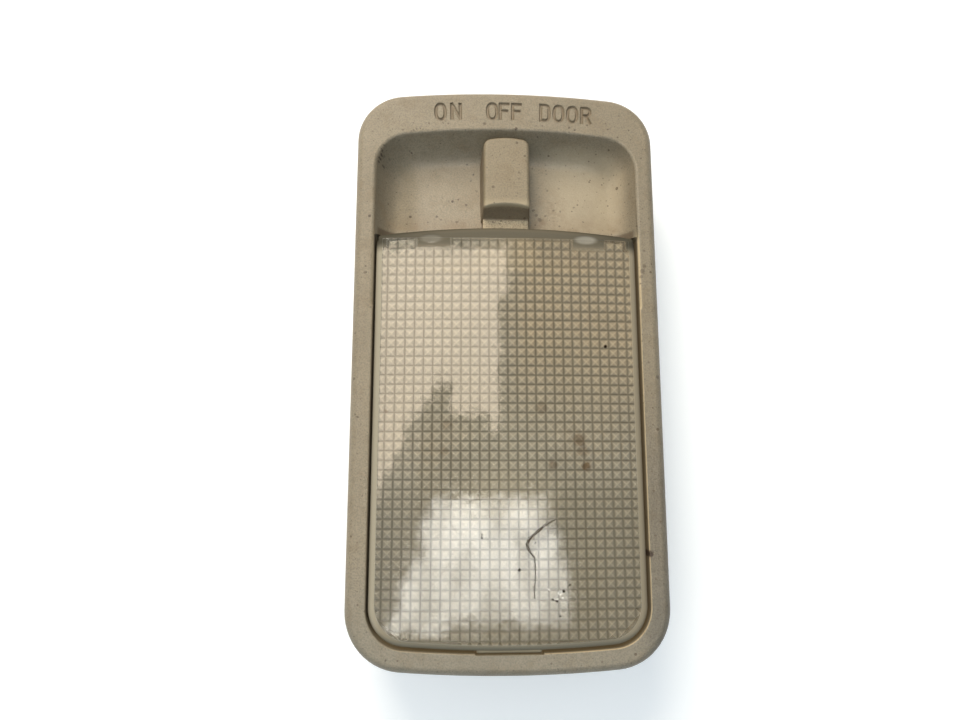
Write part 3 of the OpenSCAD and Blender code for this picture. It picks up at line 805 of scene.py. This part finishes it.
def plastic(name, base, knob=False):
    k = Mat(name)
    x, y, z = k.xyz()
    tone = k.noise(0.045, 3, 0.55)
    c = k.mix(k.ramp(tone, 0.3, 0.7), tuple(v * 0.93 for v in base), tuple(v * 1.05 for v in base))
    blotch = k.noise(0.17, 5, 0.72)
    c = k.mix(k.ramp(blotch, 0.50, 0.66, 0, 0.50), c, (base[0] * 0.78, base[1] * 0.70, base[2] * 0.60))
    mottle = k.noise(0.55, 4, 0.65)
    c = k.mix(k.ramp(mottle, 0.48, 0.70, 0, 0.55), c, (base[0] * 0.80, base[1] * 0.76, base[2] * 0.70))
    grain = k.noise(2.6, 3, 0.6)
    c = k.mix(k.ramp(grain, 0.36, 0.60, 0.52, 0.0), c, tuple(v * 0.56 for v in base))
    c = k.mix(k.ramp(k.noise(1.1, 2, 0.5), 0.55, 0.75, 0, 0.22), c, tuple(v * 1.25 for v in base))
    if not knob:
        # handling dirt settled in the bay, most of it along the lens and the walls
        low = k.ramp(z, 19.0, 23.5, 1, 0)
        inbay = k.math("MULTIPLY", low, k.ramp(y, 33.5, 35.5, 0, 1))
        inbay = k.math("MULTIPLY", inbay, k.ramp(k.math("ABSOLUTE", x), 32.2, 32.6, 1, 0))
        inbay = k.math("MULTIPLY", inbay, k.math("MULTIPLY", k.ramp(y, 59.6, 60.4, 1, 0), k.ramp(z, 16.8, 17.4, 0, 1)))
        edge = k.ramp(y, 35.0, 41.0, 1, 0)
        blot = k.ramp(k.noise(0.28, 4, 0.6), 0.40, 0.72)
        # painted sheen: the DOOR side of the bay is painted lighter
        f = k.math("MULTIPLY", inbay, k.ramp(x, 5.0, 17.0, 0.0, 0.5))
        c = k.mix(f, c, tuple(v * 1.75 for v in base))
        f = k.math("MULTIPLY", k.math("MULTIPLY", inbay, edge), k.math("MULTIPLY_ADD", blot, 0.55, 0.30))
        c = k.mix(f, c, (0.215, 0.150, 0.085))
        f = k.math("MULTIPLY", inbay, k.ramp(k.noise(0.16, 3, 0.55), 0.47, 0.70, 0, 0.30))
        c = k.mix(f, c, (0.27, 0.215, 0.14))
        # rubbed-in brown beside the thumb piece, most of it on the DOOR side
        beside = k.math("MULTIPLY", k.ramp(k.math("ABSOLUTE", k.math("SUBTRACT", x, 11.0)), 1.5, 6.5, 1, 0), k.ramp(y, 50, 36, 0, 1))
        f = k.math("MULTIPLY", k.math("MULTIPLY", inbay, beside), k.ramp(k.noise(0.45, 4, 0.7), 0.42, 0.66, 0.0, 0.7))
        c = k.mix(f, c, (0.200, 0.135, 0.075))
        # how far out from the lens's corner centres: the seat's wall stands at 9
        ax = k.math("ABSOLUTE", x)
        dx = k.math("MAXIMUM", k.math("SUBTRACT", ax, 23.15), 0.0)
        dy = k.math("SUBTRACT", k.math("MULTIPLY", k.math("MULTIPLY", x, x), 1 / 600), k.math("ADD", y, 55.95))
        dy = k.math("MAXIMUM", dy, 0.0)
        out = k.math("SQRT", k.math("ADD", k.math("MULTIPLY", dx, dx), k.math("MULTIPLY", dy, dy)))
        # painted light: the rim below is painted a little greyer and cooler, for the cooler light falling there
        c = k.mix(k.ramp(y, -40.0, -64.0, 0.0, 0.8), c, (0.97, 1.03, 1.12), kind="MULTIPLY")
        # painted shade: the right side of the rim is darkened towards its lower end, where the light falls off
        f = k.math("MULTIPLY", k.ramp(x, 28.0, 34.0), k.ramp(y, 0.0, -30.0, 0.0, 0.95))
        c = k.mix(f, c, (0.70, 0.715, 0.75), kind="MULTIPLY")
        # painted shade with some dust: inside the opening, the seat, the gap round the lens and the legend's grooves
        # are darkened to brown
        f = k.ramp(z, 23.7, 24.75, 0.86, 0.0)
        f = k.math("MULTIPLY", f, k.ramp(out, 9.35, 9.6, 1.0, 0.0))
        f = k.math("MULTIPLY", f, k.ramp(y, 33.6, 34.4, 1, 0))
        f = k.math("MULTIPLY", f, k.ramp(z, 12, 19, 0.25, 1))
        groove = k.math("MULTIPLY", k.ramp(z, 24.9, 25.22, 0.45, 0), k.ramp(y, 61.2, 61.8, 0, 1))
        groove = k.math("MULTIPLY", groove, k.ramp(y, 67.2, 67.5, 1, 0))
        f = k.math("MAXIMUM", f, k.math("MULTIPLY", groove, k.ramp(k.math("ABSOLUTE", x), 23, 24, 1, 0)))
        shade_and_dust = k.mix(k.ramp(y, 60, 61), (0.115, 0.082, 0.05), (0.150, 0.098, 0.052))
        gap = k.math("MULTIPLY", k.ramp(out, 8.5, 8.8), k.ramp(y, 34.2, 34.6, 1, 0))
        shade_and_dust = k.mix(gap, shade_and_dust, k.mix(k.ramp(x, -20.0, -30.0), (0.165, 0.124, 0.070), (0.27, 0.215, 0.14)))
        c = k.mix(f, c, shade_and_dust)
        # painted highlight: the opening's edge is painted lighter, most on its right side
        lip = k.math("MULTIPLY", k.ramp(z, 24.75, 25.0), k.ramp(z, 25.22, 25.29, 1, 0))
        lip = k.math("MULTIPLY", k.math("MULTIPLY", lip, k.ramp(out, 9.4, 9.6, 1, 0)), k.ramp(y, 30, 34, 1, 0))
        lip = k.math("MULTIPLY", lip, k.ramp(x, -5, 25, 0.15, 0.65))
        c = k.mix(lip, c, (base[0] * 2.1, base[1] * 1.95, base[2] * 1.65))
    else:
        # grime and painted shade: the sides and the front scoop darken below the top's edge
        f = k.math("MULTIPLY", k.ramp(z, 25.5, 23.6, 0, 0.62), k.ramp(y, 37.0, 37.3, 0, 1))
        c = k.mix(f, c, (0.125, 0.086, 0.050))
        # painted highlight: the front edge of the top is painted lighter
        f = k.math("MULTIPLY", k.ramp(y, 41.6, 39.4, 0, 0.8), k.ramp(z, 24.7, 25.3, 0, 1))
        c = k.mix(f, c, tuple(v * 1.45 for v in base))
        # painted light: the tongue's grain is painted lighter, as if lit
        f = k.math("MULTIPLY", k.ramp(y, 36.7, 37.1, 1, 0), k.ramp(k.noise(3.4, 3, 0.7), 0.38, 0.56, 0.1, 0.95))
        c = k.mix(f, c, tuple(v * 1.7 for v in base))
    # specks of dirt pressed into the grain, none in the legend
    away = k.math("MAXIMUM", k.ramp(y, 61.2, 61.8, 1, 0), k.ramp(k.math("ABSOLUTE", x), 23, 24, 0, 1))
    for scale, cut, strength, seed in ((0.34, 0.15, 0.72, 0), (0.62, 0.19, 0.58, 3.1), (1.2, 0.24, 0.48, 7.3)):
        n = k.nt.nodes.new("ShaderNodeMapping")
        n.inputs["Location"].default_value = (seed, seed * 1.7, 0.3)
        k.link(k.co, n.inputs["Vector"])
        v = k.voronoi(scale, co=n.outputs[0])
        sep = k.nt.nodes.new("ShaderNodeSeparateColor")
        k.link(v.outputs["Color"], sep.inputs[0])
        keep = k.math("GREATER_THAN", sep.outputs[0], 0.48)
        r = k.math("MULTIPLY", sep.outputs[1], cut)
        d = k.math("LESS_THAN", v.outputs["Distance"], r)
        d = k.math("MULTIPLY", d, away)
        c = k.mix(k.math("MULTIPLY", k.math("MULTIPLY", d, keep), strength), c, (0.085, 0.055, 0.03))
    if not knob:
        s = k.spots(k.wobble(0.55, 1.6), RIM_MARKS + BAY_MARKS)
        c = k.mix(s, c, (0.05, 0.03, 0.017))
    k.set(Base_Color=c, IOR=1.5)
    r = k.math("MULTIPLY_ADD", k.noise(0.3, 2), 0.16, 0.40)
    if not knob:  # fingers have smoothed the bay
        r = k.math("SUBTRACT", r, k.math("MULTIPLY", inbay, k.ramp(k.math("ABSOLUTE", x), 20.0, 26.0, 0.09, -0.30)))
    k.set(Roughness=k.math("ADD", r, k.math("MULTIPLY", grain, 0.08)))
    k.p.inputs["Specular IOR Level"].default_value = 0.5
    b = k.bump(k.noise(2.2, 2, 0.55), 0.00011, 0.75)
    b = k.bump(k.noise(5.0, 2, 0.6), 0.00004, 0.6, b)
    k.set(Normal=b)
    return k.m


def lattice(k, x, y, wide):
    """(line, diagonal) masks of the square prisms, both 0 to 1."""
    f = []
    for c, c0 in ((x, 40 * PITCH), (y, 40 * PITCH - ROW0)):
        f.append(k.math("FRACT", k.math("DIVIDE", k.math("ADD", c, c0), PITCH)))
    d = [k.math("MULTIPLY", k.math("MINIMUM", u, k.math("SUBTRACT", 1.0, u)), PITCH) for u in f]
    line = k.ramp(k.math("MINIMUM", *d), wide * 0.25, wide, 1, 0)
    row = k.ramp(y, ROW0 - PITCH - 0.30, ROW0 - PITCH + 0.30, 1, 0)
    for x0, x1 in ((-13, -10), (-6, 7), (11, 13)):
        row = k.math("MAXIMUM", row, k.math("MULTIPLY", k.ramp(x, x0 * PITCH - 0.7, x0 * PITCH + 0.1), k.ramp(x, x1 * PITCH - 0.1, x1 * PITCH + 0.7, 1, 0)))
    line = k.math("MULTIPLY", line, row)
    a = k.math("ABSOLUTE", k.math("SUBTRACT", f[0], f[1]))
    b = k.math("ABSOLUTE", k.math("SUBTRACT", k.math("ADD", f[0], f[1]), 1.0))
    return line, k.ramp(k.math("MINIMUM", a, b), 0.02, 0.13, 1, 0), row


def clear(name, colour, rough, haze, dirty=False, ior=1.585, hc=(0.215, 0.180, 0.125, 1), cells=False):
    """Clear plastic or glass that lets the lamps through to what is behind it, with an even haze in it."""
    k = Mat(name)
    k.p.inputs["Transmission Weight"].default_value = 1.0
    k.p.inputs["IOR"].default_value = ior
    c = colour
    if dirty:
        x, y, z = k.xyz()
        dx = k.math("MAXIMUM", k.math("SUBTRACT", k.math("ABSOLUTE", k.math("ADD", x, 0.1)), 23.15), 0.0)
        dy = k.math("SUBTRACT", k.math("MULTIPLY", k.math("MULTIPLY", x, x), 1 / 600), k.math("ADD", y, 55.95))
        dy = k.math("MAXIMUM", dy, 0.0)
        out = k.math("SQRT", k.math("ADD", k.math("MULTIPLY", dx, dx), k.math("MULTIPLY", dy, dy)))
        field = k.math("MULTIPLY", k.ramp(out, 6.6, 7.15, 1, 0), k.ramp(y, 30.6, 31.0, 1, 0))
        c = k.mix(k.ramp(k.noise(0.05, 3), 0.35, 0.7), colour, tuple(v * 0.93 for v in colour))
        c = k.mix(k.spots(k.wobble(1.6, 0.8), LENS_STAINS), c, (0.42, 0.32, 0.22))
        c = k.mix(k.spots(k.wobble(0.35, 2.2), LENS_MARKS), c, (0.02, 0.014, 0.01))
    k.set(Base_Color=c, Roughness=rough)
    tr = k.nt.nodes.new("ShaderNodeBsdfTransparent")
    tr.inputs[0].default_value = (*[v * 0.93 for v in colour], 1)
    lp = k.nt.nodes.new("ShaderNodeLightPath")
    mx = k.nt.nodes.new("ShaderNodeMixShader")
    surf = k.p.outputs[0]
    if haze:
        df = k.nt.nodes.new("ShaderNodeBsdfDiffuse")
        df.inputs[0].default_value = hc
        hz = k.nt.nodes.new("ShaderNodeMixShader")
        w = k.math("MULTIPLY_ADD", k.noise(0.12, 3, 0.6), haze * 0.5, haze * 0.75)
        if cells:
            x, y, z = k.xyz()
            line, diag, row = lattice(k, x, y, 0.44)
            # painted highlight along the prisms' diagonals, painted shade on the lines between them
            dc = k.mix(k.math("MULTIPLY", diag, 0.95), hc[:3], tuple(v * 1.8 for v in hc[:3]))
            dc = k.mix(k.math("MULTIPLY", line, 0.8), dc, (0.118, 0.100, 0.068))
            k.link(dc, df.inputs[0])
            w = k.math("MAXIMUM", w, k.math("MULTIPLY", line, 0.75))
        if dirty:
            w = k.math("MAXIMUM", w, k.ramp(field, 0, 1, 0.985, 0))
            # painted shade: dark lines between the prisms, in the haze here and in its colour below
            line, diag, row = lattice(k, x, y, 0.50)
            line = k.math("MULTIPLY", line, field)
            w = k.math("MAXIMUM", w, k.math("MULTIPLY", line, k.ramp(y, -24.0, -31.0, 0.32, 0.39)))
            plain = k.math("SUBTRACT", 1.0, row)
            w = k.math("MAXIMUM", w, k.math("MULTIPLY", plain, 0.82))
            w = k.math("MAXIMUM", w, k.math("MULTIPLY", k.spots(k.wobble(0.35, 2.2), LENS_MARKS), 0.95))
            # painted light and shade on the border: pale at the left, grey at the top and darker towards its rolled
            # edge
            edge = k.mix(k.ramp(x, -31.0, -28.0, 1, 0), (0.320, 0.268, 0.190), (0.400, 0.350, 0.262))
            edge = k.mix(k.math("MULTIPLY", k.ramp(z, 24.6, 26.05, 1.0, 0.74), k.ramp(y, 27.0, 30.0)), edge, (0.076, 0.067, 0.048))
            edge = k.mix(k.ramp(y, -60.0, -62.6, 0, 1), edge, (0.255, 0.222, 0.162))
            # painted light and shade in the cell field: warm and bright towards the upper right, lighter above y -25
            # than below it
            warm = k.math("MULTIPLY", k.ramp(y, -22, 8), k.ramp(x, -4, 6))
            low = k.mix(k.ramp(y, -33.0, -25.0), (hc[0] * 0.89, hc[1] * 0.95, hc[2] * 1.02), (hc[0] * 1.40, hc[1] * 1.48, hc[2] * 1.60))
            body = k.mix(warm, low, (hc[0] * 2.05, hc[1] * 1.76, hc[2] * 1.47))
            dc = k.mix(k.math("MULTIPLY", field, row), edge, body)
            # painted highlight: pale spots over the two tilting tabs
            pale = k.spots(k.scaled(1, 2.6, 0), [(-18.45, 30.6 * 2.6, 2.9, 0.30), (19.25, 30.75 * 2.6, 3.0, 0.62)])
            dc = k.mix(pale, dc, (0.40, 0.365, 0.300))
            # painted shade on the lines between the prisms
            dc = k.mix(k.math("MULTIPLY", line, 0.85), dc, (0.115, 0.098, 0.068))
            dc = k.mix(k.spots(k.wobble(0.35, 2.2), LENS_MARKS), dc, (0.02, 0.014, 0.01))
            dc = k.mix(k.spots(k.wobble(1.6, 0.8), LENS_STAINS), dc, (0.12, 0.075, 0.040))
            k.link(dc, df.inputs[0])
            w = k.math("MAXIMUM", w, k.math("MULTIPLY", k.spots(k.wobble(1.6, 0.8), LENS_STAINS), 0.55))
        k.link(w, hz.inputs[0])
        k.link(surf, hz.inputs[1])
        k.link(df.outputs[0], hz.inputs[2])
        surf = hz.outputs[0]
    k.link(lp.outputs["Is Shadow Ray"], mx.inputs[0])
    k.link(surf, mx.inputs[1])
    k.link(tr.outputs[0], mx.inputs[2])
    k.link(mx.outputs[0], k.out.inputs[0])
    if dirty:
        r = k.ramp(k.noise(0.35, 4, 0.7), 0.40, 0.85, rough, rough + 0.08)
        r = k.math("ADD", r, k.ramp(y, -24.0, -31.0, 0.0, 0.02))
        k.set(Roughness=k.mix(field, (0.42, 0.42, 0.42), r))
        # the face is a little wavy, as mouldings this thin are
        k.set(Normal=k.bump(k.noise(0.22, 2, 0.5), 0.00003, 1.0))
    return k.m


def metal(name, base, rough, tarnish=None, brushed=None, scale=0.5):
    k = Mat(name)
    c = base
    if tarnish:
        c = k.mix(k.ramp(k.noise(scale, 4, 0.6), 0.42, 0.72, 0, 0.75), base, tarnish)
    k.set(Base_Color=c, Metallic=1.0)
    n = k.noise(1.2, 3, 0.6)
    k.set(Roughness=k.math("MULTIPLY_ADD", n, 0.16, rough))
    co = k.scaled(*brushed) if brushed else None
    k.set(Normal=k.bump(k.noise(3.0, 2, 0.5, co=co), 0.00002, 0.5))
    return k.m


def dirt_mat(name, a, b, sharp=False):
    k = Mat(name)
    n = k.noise(2.4, 3, 0.6)
    k.set(Base_Color=k.mix(k.ramp(n, 0.42, 0.52) if sharp else n, a, b), Roughness=k.math("MULTIPLY_ADD", n, 0.2, 0.45))
    k.set(Normal=k.bump(n, 0.00002, 0.4))
    return k.m


def board_mat(name):
    k = Mat(name)
    c = k.mix(k.noise(0.35, 4, 0.6), (0.105, 0.048, 0.020), (0.175, 0.085, 0.036))
    fib = k.noise(1.8, 3, 0.6, co=k.scaled(0.3, 3.5, 1))
    c = k.mix(k.ramp(fib, 0.45, 0.75, 0, 0.5), c, (0.20, 0.11, 0.05))
    k.set(Base_Color=c, Roughness=k.math("MULTIPLY_ADD", fib, 0.15, 0.38))
    k.set(Normal=k.bump(fib, 0.00003, 0.5))
    return k.m


def dark_mat(name):
    k = Mat(name)
    c = k.mix(k.ramp(k.noise(0.4, 4), 0.4, 0.7), (0.030, 0.023, 0.018), (0.048, 0.037, 0.027))
    k.set(Base_Color=c, Roughness=k.math("MULTIPLY_ADD", k.noise(1.5, 2), 0.2, 0.35))
    k.set(Normal=k.bump(k.noise(2.5, 2), 0.00004, 0.5))
    return k.m


def main():
    base = (0.275, 0.224, 0.151)
    m_house = plastic("housing_plastic", base)
    m_knob = plastic("knob_plastic", (base[0] * 1.0, base[1] * 0.97, base[2] * 0.91), knob=True)
    m_outer = clear("lens_face", (0.94, 0.92, 0.86), 0.048, 0.26, dirty=True, hc=(0.30, 0.262, 0.195, 1))
    m_inner = clear("lens_prisms", (0.95, 0.93, 0.87), 0.42, 0.66, hc=(0.300, 0.262, 0.195, 1), cells=True)
    m_glass = clear("bulb_glass", (0.97, 0.98, 0.98), 0.01, 0.0, ior=1.5)

    h = finish_piece(build_housing())
    wear(h, m_house, "housing_plastic")
    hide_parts("housing")
    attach(h, "base")

    k = finish_piece(build_knob(), 38)
    wear(k, m_knob, "knob_plastic")
    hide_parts("switch_knob")
    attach(k, "slider")

    le = finish_piece(build_lens(), 20)
    le.data.materials.clear()
    le.data.materials.append(m_outer)
    le.data.materials.append(m_inner)
    le.data.materials.append(dirt_mat("lens_crack", (0.085, 0.062, 0.038), (0.125, 0.095, 0.062)))
    le.data.materials.append(dirt_mat("lens_chip", (0.16, 0.13, 0.09), (0.95, 0.92, 0.86), sharp=True))
    line = np.asarray(CRACK, float)
    track = np.concatenate([line[i] + (line[i + 1] - line[i]) * np.linspace(0, 1, 12)[:, None] for i in range(len(line) - 1)])
    for p in le.data.polygons:
        c = p.center * 1000
        # inside the wall: nearer than 6.9 to the corner centres
        out = math.hypot(max(abs(c.x) - 23.15, 0.0), max(c.x * c.x / 600 - c.y - 55.95, 0.0))
        inside = out < 6.9 and c.y < 31.75 and c.z < 24.9 and p.normal.z < 0.3
        p.material_index = 1 if inside and c.z > 19.2 else 0
        if c.z > 24.93 and c.z < crown(c.x) - 0.012 and -13.0 < c.x < 13.0 and -54.5 < c.y < -33.0:
            if min((c.x - x) ** 2 + (c.y - y) ** 2 for x, y in track) < 0.12:
                p.material_index = 2
            elif any((c.x - x) ** 2 + (c.y - y) ** 2 < (r * 1.3) ** 2 for x, y, r in CHIPS) and c.z > 25.6:
                p.material_index = 3
    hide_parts("lens")
    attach(le, "lens")

    bronze = metal("leaf_bronze", (0.62, 0.42, 0.22), 0.28, (0.30, 0.18, 0.09), (0.4, 4, 1))
    brass = metal("strip_brass", (0.72, 0.52, 0.22), 0.30, (0.36, 0.24, 0.10), (4, 0.4, 1))
    steel = metal("bright_steel", (0.66, 0.66, 0.67), 0.22, (0.42, 0.41, 0.40))
    spring = metal("spring_steel", (0.48, 0.48, 0.50), 0.30)
    sheet = metal("reflector_sheet", (0.38, 0.365, 0.335), 0.42, (0.28, 0.26, 0.22), (0.3, 5, 1), 0.2)
    cap = metal("cap_metal", (0.62, 0.60, 0.56), 0.25, (0.40, 0.37, 0.31))
    wire = metal("filament_wire", (0.16, 0.16, 0.17), 0.4)
    board = board_mat("board_phenolic")
    dark = dark_mat("cover_plastic")
    for mat, slot, names in (
        (bronze, "leaf_bronze", ("contact_leaf", "bulb_clip_left", "bulb_clip_right")),
        (steel, "bright_steel", ("detent_ball", "cover_screws")),
        (spring, "spring_steel", ("detent_spring",)),
        (board, "board_phenolic", ("switch_board",)),
        (dark, "cover_plastic", ("switch_cover",)),
        (brass, "strip_brass", ("supply_strip", "lamp_strip", "ground_strip", "door_strip", "board_rivets", "clip_rivets")),
        (sheet, "reflector_sheet", ("reflector",)),
        (m_glass, "bulb_glass", ("bulb_glass",)),
        (cap, "cap_metal", ("bulb_cap_left", "bulb_cap_right")),
        (wire, "filament_wire", ("bulb_filament",)),
    ):
        for n in names:
            o = N[n]
            wear(o, mat, slot)
            w = o.modifiers.new("weld", "WELD")
            w.merge_threshold = 0.000004
            for p in o.data.polygons:
                p.use_smooth = True
            o.data.set_sharp_from_angle(angle=math.radians(34))
            if n not in ("detent_ball", "detent_spring", "bulb_glass", "bulb_filament", "board_rivets", "clip_rivets"):
                b = o.modifiers.new("bevel", "BEVEL")
                b.width = 0.00008
                b.segments = 2
                b.limit_method = "ANGLE"
                b.angle_limit = math.radians(35)
                b.harden_normals = False
            wn = o.modifiers.new("normals", "WEIGHTED_NORMAL")
            wn.keep_sharp = True

    stage_and_light()


def area(name, loc, target, sx, sy, power, colour=(1, 1, 1)):
    li = bpy.data.lights.new(name, "AREA")
    li.shape = "RECTANGLE"
    li.size, li.size_y = sx, sy
    li.energy = power
    li.color = colour
    ob = bpy.data.objects.new(name, li)
    bpy.context.scene.collection.objects.link(ob)
    ob.location = loc
    ob.rotation_mode = "QUATERNION"
    ob.rotation_quaternion = (Vector(target) - Vector(loc)).to_track_quat("-Z", "Y")
    return ob


WARM = [(-33.0, 28.5), (-0.9, 28.5), (-0.9, 17.0), (-1.5, 17.0), (-1.5, -15.8), (-3.4, -15.8), (-3.4, -11.3), (-14.3, -11.3), (-14.3, -4.6), (-16.8, -4.6), (-16.9, -8.4),
        (-21.4, -10.8), (-23.4, -14.2), (-25.4, -19.2), (-28.2, -25.0), (-31.0, -30.5), (-33.0, -31.0)]
WINDOW = [(-17.0, -31.6), (9.9, -31.6), (10.0, -41.6), (12.3, -45.0), (13.4, -57.0), (0.0, -57.0), (-7.0, -57.4), (-15.0, -59.4),
          (-23.0, -60.9), (-28.5, -61.6), (-24.0, -51.5), (-20.4, -43.0), (-19.3, -37.0)]
EYE = np.array([-13.4, -24.5, 183.8])


def mirrored(x, y, z):
    """Where a card at height z stands for its gloss to fall on the lens at x, y."""
    p = np.array([x, y, LENS_Z - x * x / 700])
    n = np.array([x / 350, 0.0, 1.0])
    n /= np.linalg.norm(n)
    v = EYE - p
    v /= np.linalg.norm(v)
    r = 2 * (n @ v) * n - v
    return p + r * (z - p[2]) / r[2]


def within(x, y, poly):
    hit = False
    for (x0, y0), (x1, y1) in zip(poly, poly[1:] + poly[:1]):
        if (y0 > y) != (y1 > y) and x < x0 + (y - y0) * (x1 - x0) / (y1 - y0):
            hit = not hit
    return hit


def card(name, outline, z, colour, strength, low, high, scale):
    """Glossy-only card with a stepped edge, a little uneven in its light."""
    v, f = [], []
    for i in range(-15, 15):
        for j in range(-2, 46):
            x0, y1 = i * PITCH, ROW0 - j * PITCH
            if within(x0 + PITCH / 2, y1 - PITCH / 2, outline):
                for x, y in ((x0, y1 - PITCH), (x0 + PITCH, y1 - PITCH), (x0 + PITCH, y1), (x0, y1)):
                    q = mirrored(x, y, z * 1000) / 1000
                    v.append((q[0], q[1], z))
                f.append(tuple(range(len(v) - 4, len(v))))
    ob = make(name, v, f)
    m = bpy.data.materials.new(name)
    m.use_nodes = True
    nt = m.node_tree
    nt.nodes.clear()
    tc = nt.nodes.new("ShaderNodeTexCoord")
    no = nt.nodes.new("ShaderNodeTexNoise")
    no.inputs["Scale"].default_value = scale
    no.inputs["Detail"].default_value = 3
    nt.links.new(tc.outputs["Object"], no.inputs["Vector"])
    mr = nt.nodes.new("ShaderNodeMapRange")
    for n, val in (("From Min", 0.35), ("From Max", 0.65), ("To Min", strength * low), ("To Max", strength * high)):
        mr.inputs[n].default_value = val
    nt.links.new(no.outputs[0], mr.inputs["Value"])
    e = nt.nodes.new("ShaderNodeEmission")
    e.inputs[0].default_value = (*colour, 1)
    nt.links.new(mr.outputs[0], e.inputs[1])
    o = nt.nodes.new("ShaderNodeOutputMaterial")
    nt.links.new(e.outputs[0], o.inputs[0])
    ob.data.materials.append(m)
    ob.visible_diffuse = ob.visible_transmission = ob.visible_shadow = ob.visible_camera = False


def stage_and_light():
    me = bpy.data.meshes.new("floor")
    me.from_pydata([(-4, -4, 0), (4, -4, 0), (4, 4, 0), (-4, 4, 0)], [], [(0, 1, 2, 3)])
    fl = bpy.data.objects.new("floor", me)
    bpy.context.scene.collection.objects.link(fl)
    fl.location = (0, 0, -0.0002)
    k = Mat("floor")
    k.set(Base_Color=(0.93, 0.93, 0.93), Roughness=0.9)
    k.p.inputs["Emission Color"].default_value = (1, 1, 1, 1)
    k.p.inputs["Emission Strength"].default_value = 0.22
    k.p.inputs["Specular IOR Level"].default_value = 0.1
    me.materials.append(k.m)

    w = bpy.data.worlds.new("world")
    bpy.context.scene.world = w
    w.use_nodes = True
    w.node_tree.nodes["Background"].inputs[0].default_value = (0.85, 0.93, 1.0, 1)
    w.node_tree.nodes["Background"].inputs[1].default_value = 0.30

    area("key", (-0.16, 0.50, 0.46), (0, 0, 0.02), 0.34, 0.34, 4.1, (1.0, 0.915, 0.775))
    area("left", (-0.50, 0.06, 0.56), (0, 0, 0.02), 0.95, 0.95, 2.15, (1.0, 0.97, 0.92))
    area("right", (0.50, 0.12, 0.50), (0, 0, 0.02), 0.8, 0.8, 0.35, (0.90, 0.95, 1.0))
    area("low", (0.0, -0.5, 0.55), (0, 0, 0.02), 0.5, 0.5, 0.3, (0.84, 0.92, 1.0))
    sky = area("sky", (-0.05, -0.30, 0.72), (0, 0, 0.02), 0.4, 0.4, 1.15, (0.62, 0.86, 1.0))
    sky.visible_glossy = False
    # two soft cards over the lamp, seen only as gloss
    card("card_warm", WARM, 0.6, (1.0, 0.85, 0.68), 7.7, 0.94, 1.06, 9)
    card("card_window", WINDOW, 0.6, (1.0, 0.985, 0.93), 12.0, 0.55, 1.42, 26)

    cam_data = bpy.data.cameras.new("camera")
    cam_data.sensor_width = 36
    cam_data.lens = 25.5
    cam_data.clip_start, cam_data.clip_end = 0.01, 20
    cam = bpy.data.objects.new("camera", cam_data)
    bpy.context.scene.collection.objects.link(cam)
    m = Matrix(((0.9991, -0.0063, -0.0424, -0.0134), (-0.0005, 0.9873, -0.1589, -0.0245), (0.0428, 0.1588, 0.9864, 0.1838), (0, 0, 0, 1)))
    cam.matrix_world = m
    bpy.context.scene.camera = cam
    bpy.context.scene.view_settings.view_transform = "Standard"


main()
